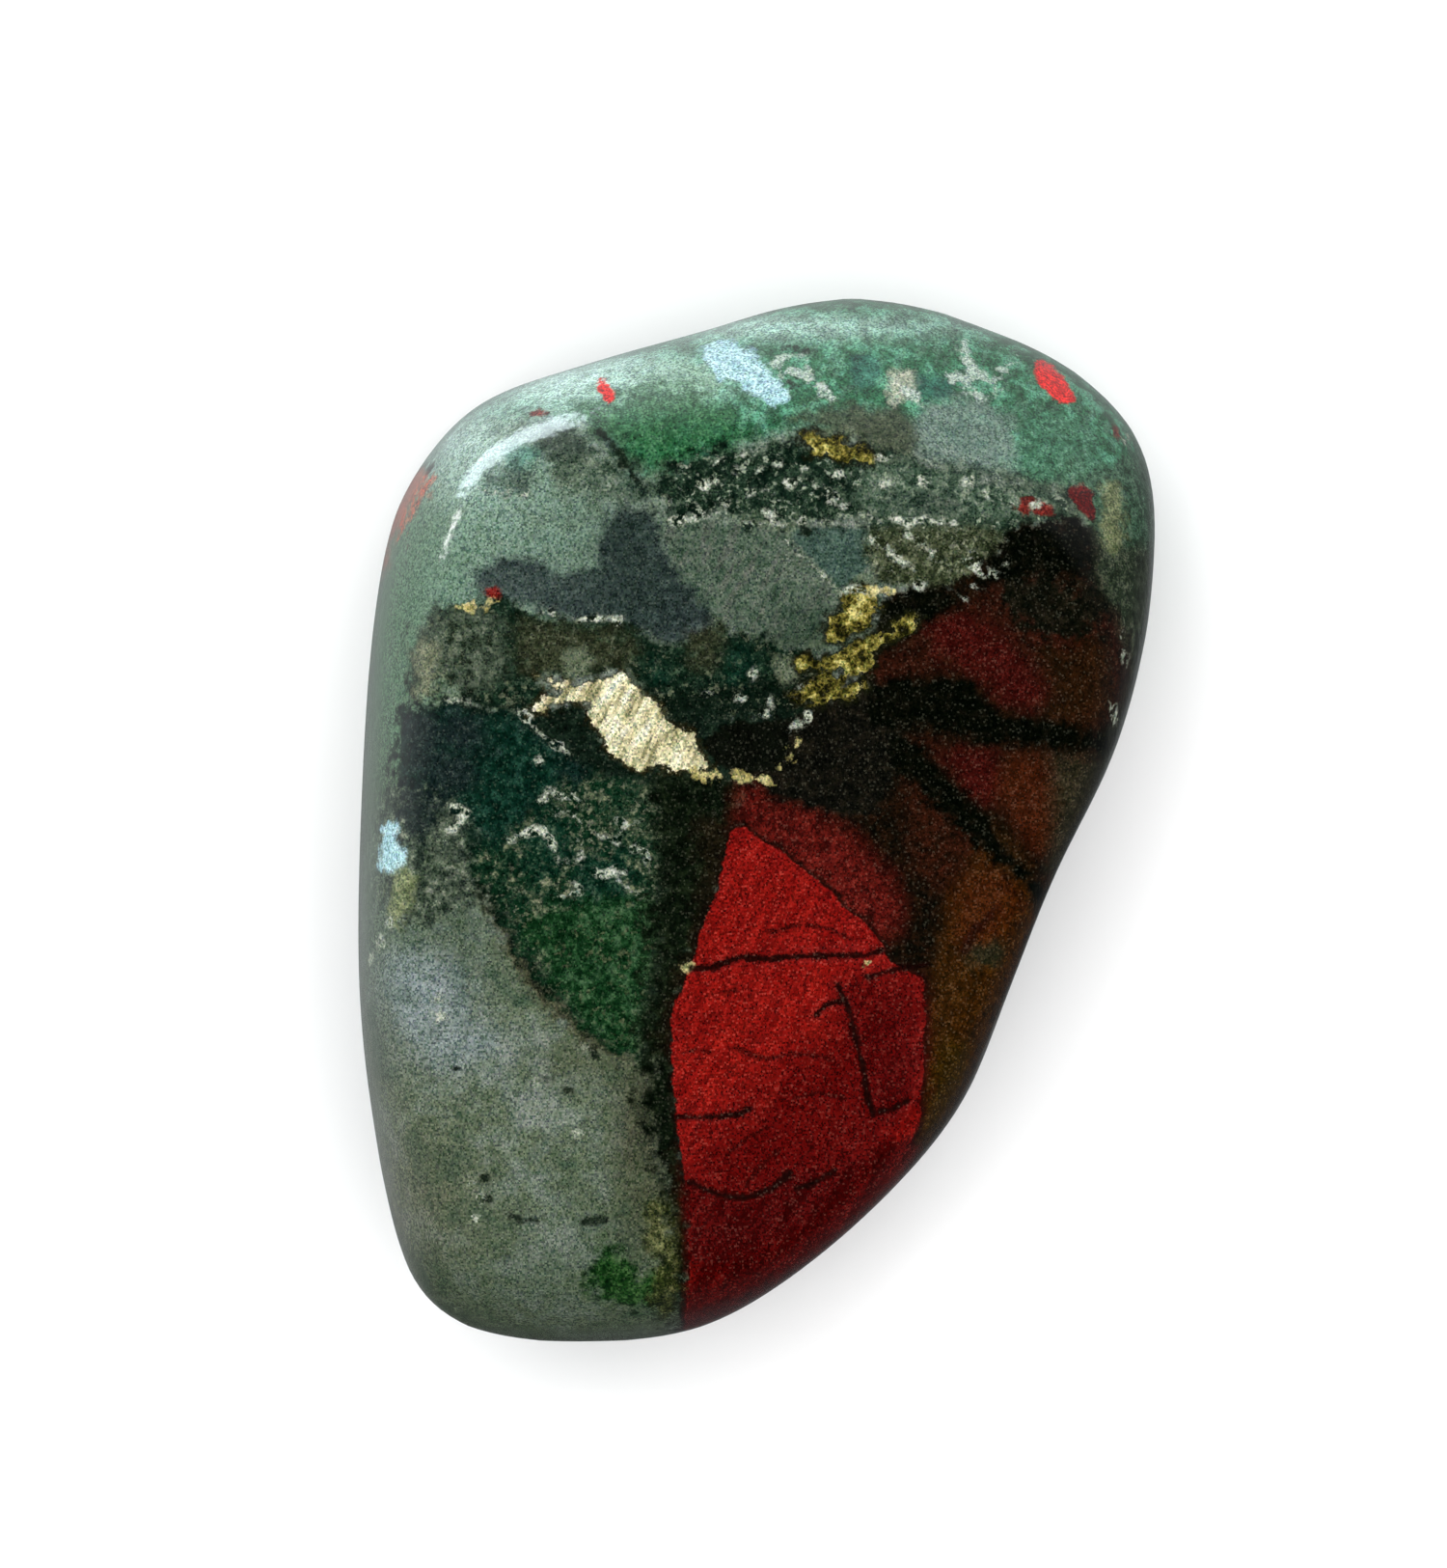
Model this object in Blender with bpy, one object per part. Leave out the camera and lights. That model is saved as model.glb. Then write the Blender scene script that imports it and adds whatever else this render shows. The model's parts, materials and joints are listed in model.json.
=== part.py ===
"""A tumbled bloodstone: one natural stone, broken from a block, its broken faces worn round and polished.

It lies on its back, which has a small flat where it rests. +X is to the right and +Y is up as
the stone is looked at from above, and +Z is up off the surface it lies on. The origin is under
the middle of the stone, on that surface.
"""

import math
from math import pi

import bmesh
import bpy
import numpy as np
from mathutils import Vector

MM = 0.001

# Driving dimensions.
WIDTH = 26.0 * MM
LENGTH = 34.0 * MM
THICKNESS = 13.6 * MM

# How squarely one face turns into the next. A high number is a crisp edge, a low one a pebble.
EDGE_SQUARENESS = 15

# The outline from above, in millimetres about the middle of the stone, anticlockwise from the right.
OUTLINE_MM = (
    (12.9, 8.0),
    (12.93, 10.7),
    (12.1, 12.9),
    (9.9, 14.9),
    (7.1, 16.15),
    (4.9, 16.85),
    (2.6, 17.0),
    (0.4, 16.6),
    (-1.2, 16.05),
    (-5.6, 14.8),
    (-9.1, 13.5),
    (-11.25, 11.1),
    (-12.2, 8.5),
    (-12.8, 3.2),
    (-13.0, -4.9),
    (-12.45, -10.3),
    (-11.6, -14.1),
    (-10.5, -15.9),
    (-8.6, -16.8),
    (-5.6, -17.0),
    (-2.3, -16.7),
    (0.5, -15.3),
    (4.0, -12.4),
    (6.65, -9.2),
    (8.3, -5.2),
    (9.7, -1.7),
    (11.6, 2.1),
    (12.6, 5.6),
)

# The worn breaks round the stone: the way that each one faces, how far it leans over from
# facing straight up (past 90 it faces down), and how far from the middle it meets the
# face or the back.
BEVELS = {
    "top": {"faces": 94, "leans": 46, "meets": 13.1 * MM},
    "top right": {"faces": 66, "leans": 40, "meets": 12.3 * MM},
    "upper left corner": {"faces": 132, "leans": 57, "meets": 15.5 * MM},
    "left": {"faces": 172, "leans": 52, "meets": 11.4 * MM},
    "lower left": {"faces": 200, "leans": 56, "meets": 14.2 * MM},
    "right": {"faces": 3, "leans": 50, "meets": 11.4 * MM},
    "lower right": {"faces": -31, "leans": 58, "meets": 10.4 * MM},
    "bottom": {"faces": 262, "leans": 57, "meets": 15.7 * MM},
    "under the top": {"faces": 86, "leans": 128, "meets": 13.4 * MM},
    "under the left": {"faces": 196, "leans": 136, "meets": 10.2 * MM},
    "under the right": {"faces": -12, "leans": 126, "meets": 10.3 * MM},
    "under the lower right": {"faces": -42, "leans": 140, "meets": 8.8 * MM},
    "under the bottom": {"faces": 250, "leans": 124, "meets": 14.2 * MM},
}

# The face leans a little towards the lower right, and the back a little the other way.
FACE_LEANS = 1.6
FACE_TOWARDS = -40
BACK_LEANS = 1.0
BACK_TOWARDS = 130

# Shallow hollows that the breaks left and the tumbling didn't wear away, and swells, whose depth is
# less than nothing: the way out to the middle of each one, its half width in degrees, and its depth.
HOLLOWS = (
    {"faces": 104, "leans": 66, "half_width": 14, "deep": 0.10 * MM},
    {"faces": 60, "leans": 60, "half_width": 13, "deep": 0.12 * MM},
    {"faces": 176, "leans": 74, "half_width": 20, "deep": 0.18 * MM},
    {"faces": -18, "leans": 88, "half_width": 16, "deep": 0.22 * MM},
    {"faces": -62, "leans": 80, "half_width": 20, "deep": -0.15 * MM},
    {"faces": 214, "leans": 34, "half_width": 20, "deep": 0.07 * MM},
    {"faces": 20, "leans": 36, "half_width": 18, "deep": 0.06 * MM},
    {"faces": 205, "leans": 118, "half_width": 22, "deep": 0.25 * MM},
    {"faces": 52, "leans": 124, "half_width": 18, "deep": 0.24 * MM},
)

# How deep the flat that it rests on is worn into the lowest part of the back.
FLAT_DEPTH = 0.16 * MM

# Quads across the block that the stone is worn from, along X, Y and Z.
CUTS = (26, 34, 14)
# How far the cuts crowd towards the block's edges, where the stone turns. In degrees, under 90.
CROWDING = 64

# Where the stone's widest reach is looked for: how many ways round it, and at how many rises
# from below to above its middle, up to the steepest in radians.
TRIED_AROUND = 361
TRIED_UPWARDS = 41
STEEPEST_RISE = 0.6


def clear_scene():
    """The startup scene's objects go."""
    for obj in list(bpy.data.objects):
        bpy.data.objects.remove(obj, do_unlink=True)


def smooth_loop(points, steps=24):
    """A closed smooth curve through the points, as a Catmull-Rom spline."""
    points = np.array(points, float)
    before = np.roll(points, 1, axis=0)
    after = np.roll(points, -1, axis=0)
    later = np.roll(points, -2, axis=0)
    made = []
    for t in np.linspace(0, 1, steps, endpoint=False):
        made.append(
            0.5
            * (
                2 * points
                + (after - before) * t
                + (2 * before - 5 * points + 4 * after - later) * t**2
                + (3 * points - before - 3 * after + later) * t**3
            )
        )
    return np.stack(made, axis=1).reshape(-1, 2)


def outline_fitted():
    """The outline in metres, with its box brought to the stone's width and length."""
    curve = smooth_loop(OUTLINE_MM) * MM
    low, high = curve.min(axis=0), curve.max(axis=0)
    return (curve - (low + high) / 2) * np.array([WIDTH, LENGTH]) / (high - low)


def reach_of(curve):
    """A function that gives how far the outline is from the middle, at an angle."""
    angles = np.arctan2(curve[:, 1], curve[:, 0])
    reaches = np.hypot(curve[:, 0], curve[:, 1])
    order = np.argsort(angles)
    return lambda angle: float(
        np.interp(angle, angles[order], reaches[order], period=2 * pi)
    )


def direction(faces, leans):
    """The way out of a face that looks towards an angle and leans over from straight up, in degrees."""
    turn, tilt = math.radians(faces), math.radians(leans)
    return Vector(
        (
            math.sin(tilt) * math.cos(turn),
            math.sin(tilt) * math.sin(turn),
            math.cos(tilt),
        )
    )


def worn_faces():
    """Every face of the stone as (the way out of it, its distance from the stone's middle)."""
    half = THICKNESS / 2
    faces = [
        (direction(FACE_TOWARDS, FACE_LEANS), half),
        (direction(BACK_TOWARDS, 180 - BACK_LEANS), half + FLAT_DEPTH),
    ]
    for bevel in BEVELS.values():
        out = direction(bevel["faces"], bevel["leans"])
        away = bevel["meets"] * math.hypot(out.x, out.y) + half * abs(out.z)
        faces.append((out, away))
    return faces


def hollow_at(way):
    """How much the hollows take off the stone along a way."""
    taken = 0.0
    for hollow in HOLLOWS:
        off = math.degrees(way.angle(direction(hollow["faces"], hollow["leans"])))
        taken += hollow["deep"] * math.exp(-((off / hollow["half_width"]) ** 2))
    return taken


def distance_out(way, faces, reach):
    """How far the worn surface is from the middle along a way: a soft least over all the faces."""
    flatly = math.hypot(way.x, way.y)
    held_in = 0.0
    if flatly > 0:
        held_in = (flatly / reach(math.atan2(way.y, way.x))) ** EDGE_SQUARENESS
    for out, away in faces:
        held_in += max(0.0, out.dot(way) / away) ** EDGE_SQUARENESS
    return held_in ** (-1 / EDGE_SQUARENESS) - hollow_at(way)


def spread_to_outline(faces, reach):
    """A function that gives how much the bevels drew the stone in at an angle, to be given back."""
    angles = np.linspace(-pi, pi, TRIED_AROUND)
    drawn_in = []
    for angle in angles:
        widest = 0.0
        for rise in np.linspace(-STEEPEST_RISE, STEEPEST_RISE, TRIED_UPWARDS):
            way = Vector(
                (
                    math.cos(rise) * math.cos(angle),
                    math.cos(rise) * math.sin(angle),
                    math.sin(rise),
                )
            )
            widest = max(widest, distance_out(way, faces, reach) * math.cos(rise))
        drawn_in.append(reach(angle) / widest)
    return lambda angle: float(np.interp(angle, angles, drawn_in))


def cut_places(count, half):
    """Where the block is cut along one axis: evenly over an arc, so that the cuts crowd at its ends."""
    crowd = math.radians(CROWDING)
    steps = np.linspace(-1, 1, count + 1)[1:-1]
    return [half * math.sin(step * crowd) / math.sin(crowd) for step in steps]


def sliced_block():
    """A block of the stone's size, sliced into a grid of quads on every side."""
    bm = bmesh.new()
    bmesh.ops.create_cube(bm, size=1)
    size = Vector((WIDTH, LENGTH, THICKNESS))
    bmesh.ops.scale(bm, vec=size, verts=bm.verts)
    for axis, count in enumerate(CUTS):
        normal = Vector((0, 0, 0))
        normal[axis] = 1
        for place in cut_places(count, size[axis] / 2):
            bmesh.ops.bisect_plane(
                bm,
                geom=bm.verts[:] + bm.edges[:] + bm.faces[:],
                dist=1e-7,
                plane_co=normal * place,
                plane_no=normal,
            )
    return bm


def wear_down(bm):
    """Moves each point of the block, straight in or out from the middle, onto the worn stone."""
    faces = worn_faces()
    reach = reach_of(outline_fitted())
    spread = spread_to_outline(faces, reach)
    for vert in bm.verts:
        way = vert.co.normalized()
        place = way * distance_out(way, faces, reach)
        wider = spread(math.atan2(way.y, way.x))
        vert.co = Vector((place.x * wider, place.y * wider, place.z))


def wear_flat(bm):
    """Wears the lowest part of the back to a level flat."""
    level = min(vert.co.z for vert in bm.verts) + FLAT_DEPTH
    for vert in bm.verts:
        vert.co.z = max(level, vert.co.z)


def bring_to_size(bm):
    """Brings the stone's box to its exact size, with the origin under its middle."""
    places = np.array([vert.co for vert in bm.verts])
    low, high = places.min(axis=0), places.max(axis=0)
    middle = (low + high) / 2
    middle[2] = low[2]
    grown = np.array([WIDTH, LENGTH, THICKNESS]) / (high - low)
    for vert in bm.verts:
        vert.co = Vector((np.array(vert.co) - middle) * grown)


def stone_material():
    """Polished dark green jasper."""
    material = bpy.data.materials.new("bloodstone")
    material.use_nodes = True
    shader = material.node_tree.nodes["Principled BSDF"]
    shader.inputs["Base Color"].default_value = (0.085, 0.12, 0.09, 1)
    shader.inputs["Roughness"].default_value = 0.2
    shader.inputs["Metallic"].default_value = 0
    return material


def make_stone():
    bm = sliced_block()
    wear_down(bm)
    wear_flat(bm)
    bring_to_size(bm)
    mesh = bpy.data.meshes.new("stone")
    bm.to_mesh(mesh)
    bm.free()
    mesh.shade_smooth()
    mesh.materials.append(stone_material())
    stone = bpy.data.objects.new("stone", mesh)
    bpy.context.scene.collection.objects.link(stone)
    return stone


clear_scene()
make_stone()
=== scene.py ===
"""The looks of a tumbled and polished bloodstone, on a pale floor in soft studio light.

The stone is a copy of the part's own solid, made smooth and dense, with its cracks and pits
pressed into it. Each mineral in it is a body with an outline. The outline's distance is kept on
the mesh, and the material lays the bodies over each other, with ragged edges and a grain.
"""

import json
import math

import bpy
import numpy as np
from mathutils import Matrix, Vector

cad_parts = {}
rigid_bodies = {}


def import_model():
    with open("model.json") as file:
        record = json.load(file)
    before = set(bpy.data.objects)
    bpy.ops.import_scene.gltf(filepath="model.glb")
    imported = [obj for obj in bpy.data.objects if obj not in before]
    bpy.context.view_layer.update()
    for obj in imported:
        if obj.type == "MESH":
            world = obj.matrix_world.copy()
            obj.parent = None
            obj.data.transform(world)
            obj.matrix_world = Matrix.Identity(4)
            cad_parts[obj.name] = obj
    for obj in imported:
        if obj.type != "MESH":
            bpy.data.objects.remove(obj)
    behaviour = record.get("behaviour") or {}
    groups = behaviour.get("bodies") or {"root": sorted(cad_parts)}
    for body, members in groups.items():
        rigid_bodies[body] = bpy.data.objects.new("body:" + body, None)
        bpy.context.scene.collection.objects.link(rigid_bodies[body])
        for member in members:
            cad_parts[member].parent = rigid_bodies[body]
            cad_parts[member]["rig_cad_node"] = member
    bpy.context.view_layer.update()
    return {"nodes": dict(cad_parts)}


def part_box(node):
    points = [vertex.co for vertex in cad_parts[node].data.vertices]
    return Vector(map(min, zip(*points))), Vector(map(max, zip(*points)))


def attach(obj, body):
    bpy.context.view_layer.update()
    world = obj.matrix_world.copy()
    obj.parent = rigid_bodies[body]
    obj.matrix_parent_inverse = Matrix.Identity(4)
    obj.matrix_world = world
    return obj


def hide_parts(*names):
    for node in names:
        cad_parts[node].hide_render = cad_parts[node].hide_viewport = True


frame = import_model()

MM = 0.001

# The photo's size in pixels, a pixel's size on the stone, and where the stone's middle is in it.
PHOTO_SIZE = (1500, 1625)
PIXEL = 0.0315 * MM
STONE_MIDDLE = (784.5, 849.5)

# The height at which the stone is widest.
GIRDLE = 6.5 * MM

# The camera looks straight down from far off. SENSOR is how high its picture is, in millimetres,
# and CAMERA_SEES is the nearest and the farthest that it shows.
CAMERA_AWAY = 900 * MM
SENSOR = 36
CAMERA_SEES = (0.1, 3)

# How near to each other the solid's doubled points are, and how long the quads are that its copy
# is remade of.
DOUBLED_WITHIN = 1e-6
VOXEL = 0.47 * MM

# Faces are divided in four where their normals rise past the first of these, and then once more
# past the second. The stone is smoothed before that, and after each time.
DIVIDED_ABOVE = (0.36, 0.42)
SMOOTHING = {"factor": 0.5, "iterations": 4}

# The faces this near to a crack, pit, stroke or fleck are divided once more, in pixels.
NEAR_A_MARK = 3.0

# How far a distance is kept, in pixels.
FAR = 60

# How far below the girdle most bodies end, which ones end lower, how unevenly they do, how many
# times that rises and falls round the stone, and how much faster a second wave of it does.
REACH = 3 * MM
REACHES = {"right_rim": 4 * MM, "right_green": 4 * MM}
REACH_VARIES = 0.45
REACH_WAVES = 5
SECOND_WAVE = 2.3

# How much further out the pattern is looked up for each step down the sides.
SIDES_SPREAD = 0.6

# The bodies that go right through to the back, how much they bend on the way, and the two waves of
# the bend, as how fast each one turns for a pixel and where it starts.
THROUGH = ("painted_red_shade", "dark_red_and_rim_shade", "dark_strip", "dark_side", "maroon", "red", "black", "top_green")
BENDS = 0.45
BEND_WAVES = ((0.011, 1), (0.013, 2))

# The bodies of the back, and how far below the girdle they start, in pixels.
ON_BACK = ("back_green", "back_red", "back_slate", "back_cream")
BACK_STARTS = 60

# How far below the girdle the marks end and the washes fade out, in pixels, and how fast a wash
# thins out from its middle.
MARKS_END = 30
WASHES_FADE = 130
WASHES_THIN = 0.7

# How wide a crack slopes beside its line, in pixels, and how deep it is, in millimetres. How
# steeply a pit rises from its middle, and the least depth that is pressed in, in millimetres.
CRACK_SLOPES = 3
CRACK_DEPTH = 0.035
PITS_RISE = 2
LEAST_DEPTH = 0.001


# The outlines of each body of mineral, in pixels of the photo, from above. The photo doesn't show
# those of the back.
BODIES = {
    "slate": [[(492, 590), (540, 577), (580, 592), (610, 592), (621, 562), (630, 534), (652, 527),
        (676, 534), (688, 560), (700, 588), (716, 603), (730, 625), (740, 645), (722, 664), (690, 670),
        (665, 655), (640, 643), (600, 646), (563, 634), (530, 622), (500, 616)]],
    "grey_wedge": [[(690, 548), (740, 540), (800, 548), (822, 560), (845, 590), (868, 612), (870, 625),
        (862, 640), (845, 652), (828, 662), (800, 664), (780, 656), (760, 650), (745, 640), (733, 622),
        (720, 605), (703, 590), (692, 570)]],
    "teal_wedge": [[(820, 552), (850, 545), (895, 548), (908, 565), (900, 590), (880, 600), (872, 612),
        (858, 598), (842, 580)]],
    "olive_band": [[(440, 640), (478, 622), (500, 618), (520, 618), (540, 632), (560, 638), (600, 642),
        (640, 643), (663, 656), (690, 668), (722, 660), (742, 646), (762, 652), (790, 660), (815, 666),
        (835, 672), (852, 690), (856, 720), (852, 745), (825, 752), (795, 750), (760, 748), (740, 758),
        (725, 764), (700, 754), (690, 742), (680, 727), (665, 714), (655, 702), (640, 697), (600, 705),
        (560, 702), (570, 730), (540, 737), (500, 737), (480, 724), (462, 707), (440, 717), (420, 722),
        (428, 680)]],
    "teal_black": [[(415, 740), (428, 730), (470, 728), (500, 735), (535, 738), (550, 752), (565, 765),
        (585, 780), (600, 790), (610, 800), (600, 815), (585, 812), (570, 815), (560, 820), (555, 835),
        (545, 850), (520, 865), (500, 870), (488, 850), (470, 830), (450, 815), (430, 820), (415, 815),
        (412, 780)]],
    "dark_mass": [[(412, 738), (430, 728), (480, 722), (545, 732), (600, 722), (625, 750), (650, 770),
        (690, 742), (760, 738), (840, 736), (852, 760), (800, 812), (775, 818), (760, 860), (740, 930),
        (712, 1010), (690, 1090), (664, 1104), (640, 1092), (612, 1074), (590, 1052), (560, 1022),
        (536, 988), (512, 950), (494, 915), (500, 880), (485, 850), (452, 824), (430, 822), (412, 815),
        (410, 780)]],
    "left_mottle": [[(400, 812), (450, 812), (490, 835), (520, 860), (510, 890), (500, 925), (470, 945),
        (430, 960), (398, 945), (392, 880)]],
    "right_rim": [[(1138, 545), (1150, 530), (1170, 560), (1240, 600), (1240, 800), (1180, 830),
        (1150, 800), (1152, 760), (1160, 720), (1155, 680), (1146, 640), (1140, 600)]],
    "right_green": [[(1120, 500), (1150, 480), (1190, 470), (1260, 480), (1260, 640), (1180, 640),
        (1150, 580), (1130, 545)]],
    "grey_top": [[(945, 470), (950, 430), (985, 412), (1020, 420), (1050, 440), (1062, 470),
        (1050, 485), (1000, 482)]],
    "olive_top": [[(820, 425), (860, 418), (910, 422), (945, 435), (950, 470), (915, 480), (880, 450),
        (830, 440)]],
    "beige_top": [[(918, 390), (930, 384), (945, 388), (950, 400), (944, 412), (930, 416), (920, 408)]],
    "teal_top": [
        [(884, 372), (900, 366), (915, 375), (912, 395), (895, 402), (884, 390)],
        [(950, 392), (966, 388), (985, 394), (982, 410), (962, 414), (950, 405)],
        [(520, 466), (540, 460), (562, 466), (555, 480), (530, 484)],
        [(640, 490), (655, 488), (668, 500), (655, 512), (642, 505)],
    ],
    "dark_top": [
        [(558, 448), (580, 440), (605, 450), (618, 470), (600, 482), (572, 480), (556, 466)],
        [(612, 440), (628, 442), (648, 462), (668, 492), (672, 512), (656, 510), (636, 480),
         (618, 458)],
        [(490, 488), (515, 484), (545, 492), (560, 503), (540, 510), (505, 505)],
        [(925, 512), (960, 508), (1000, 515), (1000, 532), (960, 535), (930, 530)],
    ],
    "teal_green_top": [[(1060, 440), (1100, 430), (1135, 450), (1142, 490), (1110, 502), (1070, 498),
        (1052, 470)]],
    "pale_green_top": [[(642, 400), (668, 382), (700, 372), (742, 385), (742, 415), (700, 425),
        (650, 424)]],
    "olive_specked": [[(905, 550), (960, 542), (1030, 546), (1046, 568), (1022, 598), (990, 610),
        (935, 608), (902, 592)]],
    "brown_olive": [
        [(540, 645), (600, 650), (655, 662), (655, 690), (600, 695), (545, 698)],
        [(715, 654), (748, 652), (752, 690), (722, 692)],
        [(572, 750), (602, 746), (624, 764), (630, 786), (606, 792), (584, 776)],
    ],
    "dark_olive": [[(664, 706), (700, 712), (740, 706), (775, 704), (800, 700), (826, 696), (850, 704),
        (852, 742), (825, 750), (790, 746), (760, 746), (742, 758), (722, 766), (700, 756),
        (680, 738)]],
    "pale_olive": [
        [(584, 676), (600, 670), (612, 682), (606, 700), (588, 702)],
        [(805, 682), (822, 684), (826, 704), (810, 708)],
    ],
    # Painted shade: the red darkened towards the lower right.
    "painted_red_shade": [[(724, 1205), (762, 1160), (802, 1118), (842, 1080), (880, 1048), (905, 1032),
        (940, 1040), (942, 1120), (925, 1190), (870, 1262), (800, 1320), (740, 1345)]],
    "red_right": [[(868, 1018), (900, 1012), (945, 1012), (958, 1030), (958, 1100), (952, 1150),
        (925, 1152), (905, 1155), (897, 1120), (888, 1080), (880, 1045)]],
    # Partly the darker red below the lower crack, and partly painted shade along the lower right rim.
    "dark_red_and_rim_shade": [[(713, 1228), (745, 1239), (775, 1242), (800, 1234), (818, 1219), (865, 1213),
        (905, 1190), (948, 1180), (955, 1230), (930, 1310), (870, 1380), (790, 1430), (712, 1440),
        (713, 1300)]],
    "deep_green": [
        [(505, 740), (530, 738), (552, 758), (575, 785), (590, 812), (565, 822), (552, 845), (525, 868),
         (500, 876), (478, 866), (488, 845), (474, 826), (500, 812), (492, 792), (512, 778),
         (500, 760)],
        [(556, 838), (580, 845), (600, 868), (590, 900), (560, 905), (540, 885)],
        [(596, 884), (640, 880), (655, 905), (652, 940), (620, 948), (594, 932), (590, 905)],
        [(748, 674), (762, 670), (774, 690), (768, 708), (752, 706), (744, 690)],
        [(672, 690), (682, 688), (688, 700), (678, 706)],
    ],
    "left_slate": [
        [(413, 818), (440, 814), (458, 830), (452, 858), (430, 866), (415, 852)],
        [(430, 784), (448, 776), (470, 784), (492, 792), (488, 816), (466, 828), (442, 818)],
        [(424, 742), (450, 738), (476, 752), (500, 746), (508, 760), (486, 774), (458, 770), (436, 784),
         (420, 772)],
    ],
    "brown_border": [[(500, 930), (515, 925), (545, 975), (580, 1022), (620, 1062), (655, 1085),
        (648, 1100), (612, 1084), (570, 1050), (535, 1005)]],
    "green_mottle": [[(492, 880), (520, 858), (548, 840), (562, 818), (600, 804), (650, 806),
        (680, 815), (690, 850), (684, 900), (680, 960), (672, 1020), (664, 1060), (665, 1098),
        (645, 1092), (622, 1074), (600, 1056), (578, 1030), (556, 1004), (538, 975), (520, 945),
        (502, 915)]],
    "green_wedge": [[(545, 950), (600, 935), (650, 930), (680, 935), (683, 960), (672, 1020),
        (665, 1070), (662, 1094), (645, 1090), (618, 1072), (592, 1044), (568, 1012), (550, 980)]],
    "dark_strip": [[(680, 805), (720, 800), (760, 806), (775, 815), (780, 840), (774, 880), (766, 905),
        (758, 930), (748, 955), (738, 980), (728, 1005), (718, 1028), (712, 1050), (710, 1100),
        (712, 1150), (718, 1190), (724, 1230), (726, 1290), (726, 1340), (718, 1385), (704, 1420),
        (698, 1420), (698, 1370), (684, 1325), (694, 1300), (690, 1270), (688, 1230), (680, 1200),
        (668, 1175), (662, 1140), (668, 1100), (664, 1070), (674, 1030), (680, 985), (674, 950),
        (684, 910), (686, 880), (676, 850)]],
    "brown_edge": [[(722, 850), (750, 848), (770, 870), (758, 920), (738, 980), (718, 1030),
        (708, 1060), (706, 1100), (684, 1090), (690, 1040), (704, 1000), (718, 950), (726, 900)]],
    "dark_side": [[(740, 760), (820, 745), (880, 715), (905, 660), (925, 612), (985, 606), (1040, 560),
        (1060, 542), (1120, 540), (1150, 570), (1165, 610), (1185, 650), (1300, 650), (1300, 1000),
        (1150, 1300), (950, 1450), (720, 1460), (706, 1390), (712, 1340), (714, 1280), (706, 1200),
        (700, 1100), (705, 1040), (730, 960), (748, 900), (765, 850), (770, 810)]],
    "maroon": [
        [(905, 680), (930, 670), (950, 655), (975, 640), (1000, 622), (1020, 610), (1040, 603),
         (1070, 598), (1100, 600), (1130, 612), (1160, 640), (1175, 690), (1160, 740), (1140, 752),
         (1100, 744), (1070, 742), (1045, 738), (1030, 724), (1015, 710), (985, 702), (940, 706),
         (905, 712)],
        [(940, 768), (980, 768), (1040, 778), (1080, 785), (1130, 785), (1120, 830), (1100, 880),
         (1080, 890), (1062, 868), (1040, 842), (1000, 818), (975, 795)],
    ],
    "red_streak": [
        [(962, 648), (985, 636), (1010, 640), (1040, 658), (1062, 684), (1078, 712), (1074, 732),
         (1052, 732), (1030, 720), (1012, 702), (985, 684), (964, 666)],
        [(985, 785), (1030, 780), (1032, 810), (1018, 832), (1000, 818), (988, 800)],
    ],
    "grey_right": [[(1088, 790), (1120, 785), (1165, 795), (1185, 850), (1150, 915), (1110, 915),
        (1092, 905), (1085, 850)]],
    "brown_right": [[(1030, 855), (1060, 890), (1078, 918), (1092, 912), (1130, 930), (1150, 985),
        (1110, 1060), (1095, 1130), (1050, 1210), (990, 1280), (945, 1310), (918, 1262), (925, 1230),
        (945, 1190), (958, 1130), (960, 1060), (966, 1015), (972, 985), (978, 955), (986, 925),
        (1005, 902)]],
    "orange_brown": [
        [(1000, 905), (1030, 900), (1052, 910), (1060, 935), (1045, 965), (1025, 985), (1002, 985),
         (990, 960), (990, 930)],
        [(1045, 785), (1085, 788), (1092, 830), (1086, 872), (1072, 882), (1055, 858), (1038, 826)],
    ],
    "brown_vein": [[(1036, 935), (1030, 950), (1015, 965), (1005, 985), (998, 985), (1003, 968),
        (1018, 952)]],
    "teal_patch": [[(1005, 982), (1030, 975), (1044, 985), (1030, 1002), (1008, 1002)]],
    "olive_green": [[(970, 1085), (1000, 1080), (1005, 1110), (985, 1150), (960, 1180), (955, 1150)]],
    "red_margin": [[(770, 815), (790, 818), (800, 830), (840, 838), (860, 850), (880, 862), (897, 880),
        (908, 895), (922, 908), (930, 925), (934, 942), (930, 958), (920, 972), (908, 980), (880, 975),
        (850, 950), (800, 900), (765, 860)]],
    "red": [[(758, 862), (768, 857), (778, 862), (790, 872), (805, 880), (818, 890), (832, 902),
        (846, 912), (858, 922), (870, 935), (884, 948), (897, 956), (908, 970), (917, 982), (918, 992),
        (945, 1010), (957, 1015), (958, 1030), (958, 1060), (957, 1100), (955, 1140), (950, 1168),
        (943, 1190), (936, 1206), (945, 1240), (940, 1300), (890, 1370), (820, 1420), (750, 1450),
        (708, 1450), (711, 1392), (710, 1376), (713, 1340), (715, 1300), (714, 1280), (715, 1250),
        (714, 1235), (708, 1215), (705, 1190), (701, 1160), (698, 1130), (697, 1100), (696, 1060),
        (700, 1040), (708, 1022), (715, 1005), (722, 985), (728, 965), (735, 945), (742, 925),
        (748, 900), (752, 880)]],
    "black": [
        [(905, 712), (930, 705), (960, 702), (1000, 703), (1015, 715), (1025, 730), (1045, 742),
         (1070, 745), (1100, 748), (1135, 762), (1190, 765), (1185, 785), (1130, 776), (1100, 778),
         (1075, 772), (1040, 770), (1010, 772), (1000, 762), (975, 757), (950, 755), (930, 760),
         (900, 750)],
        [(922, 765), (948, 768), (970, 792), (992, 814), (1014, 836), (1036, 860), (1056, 886),
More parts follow.
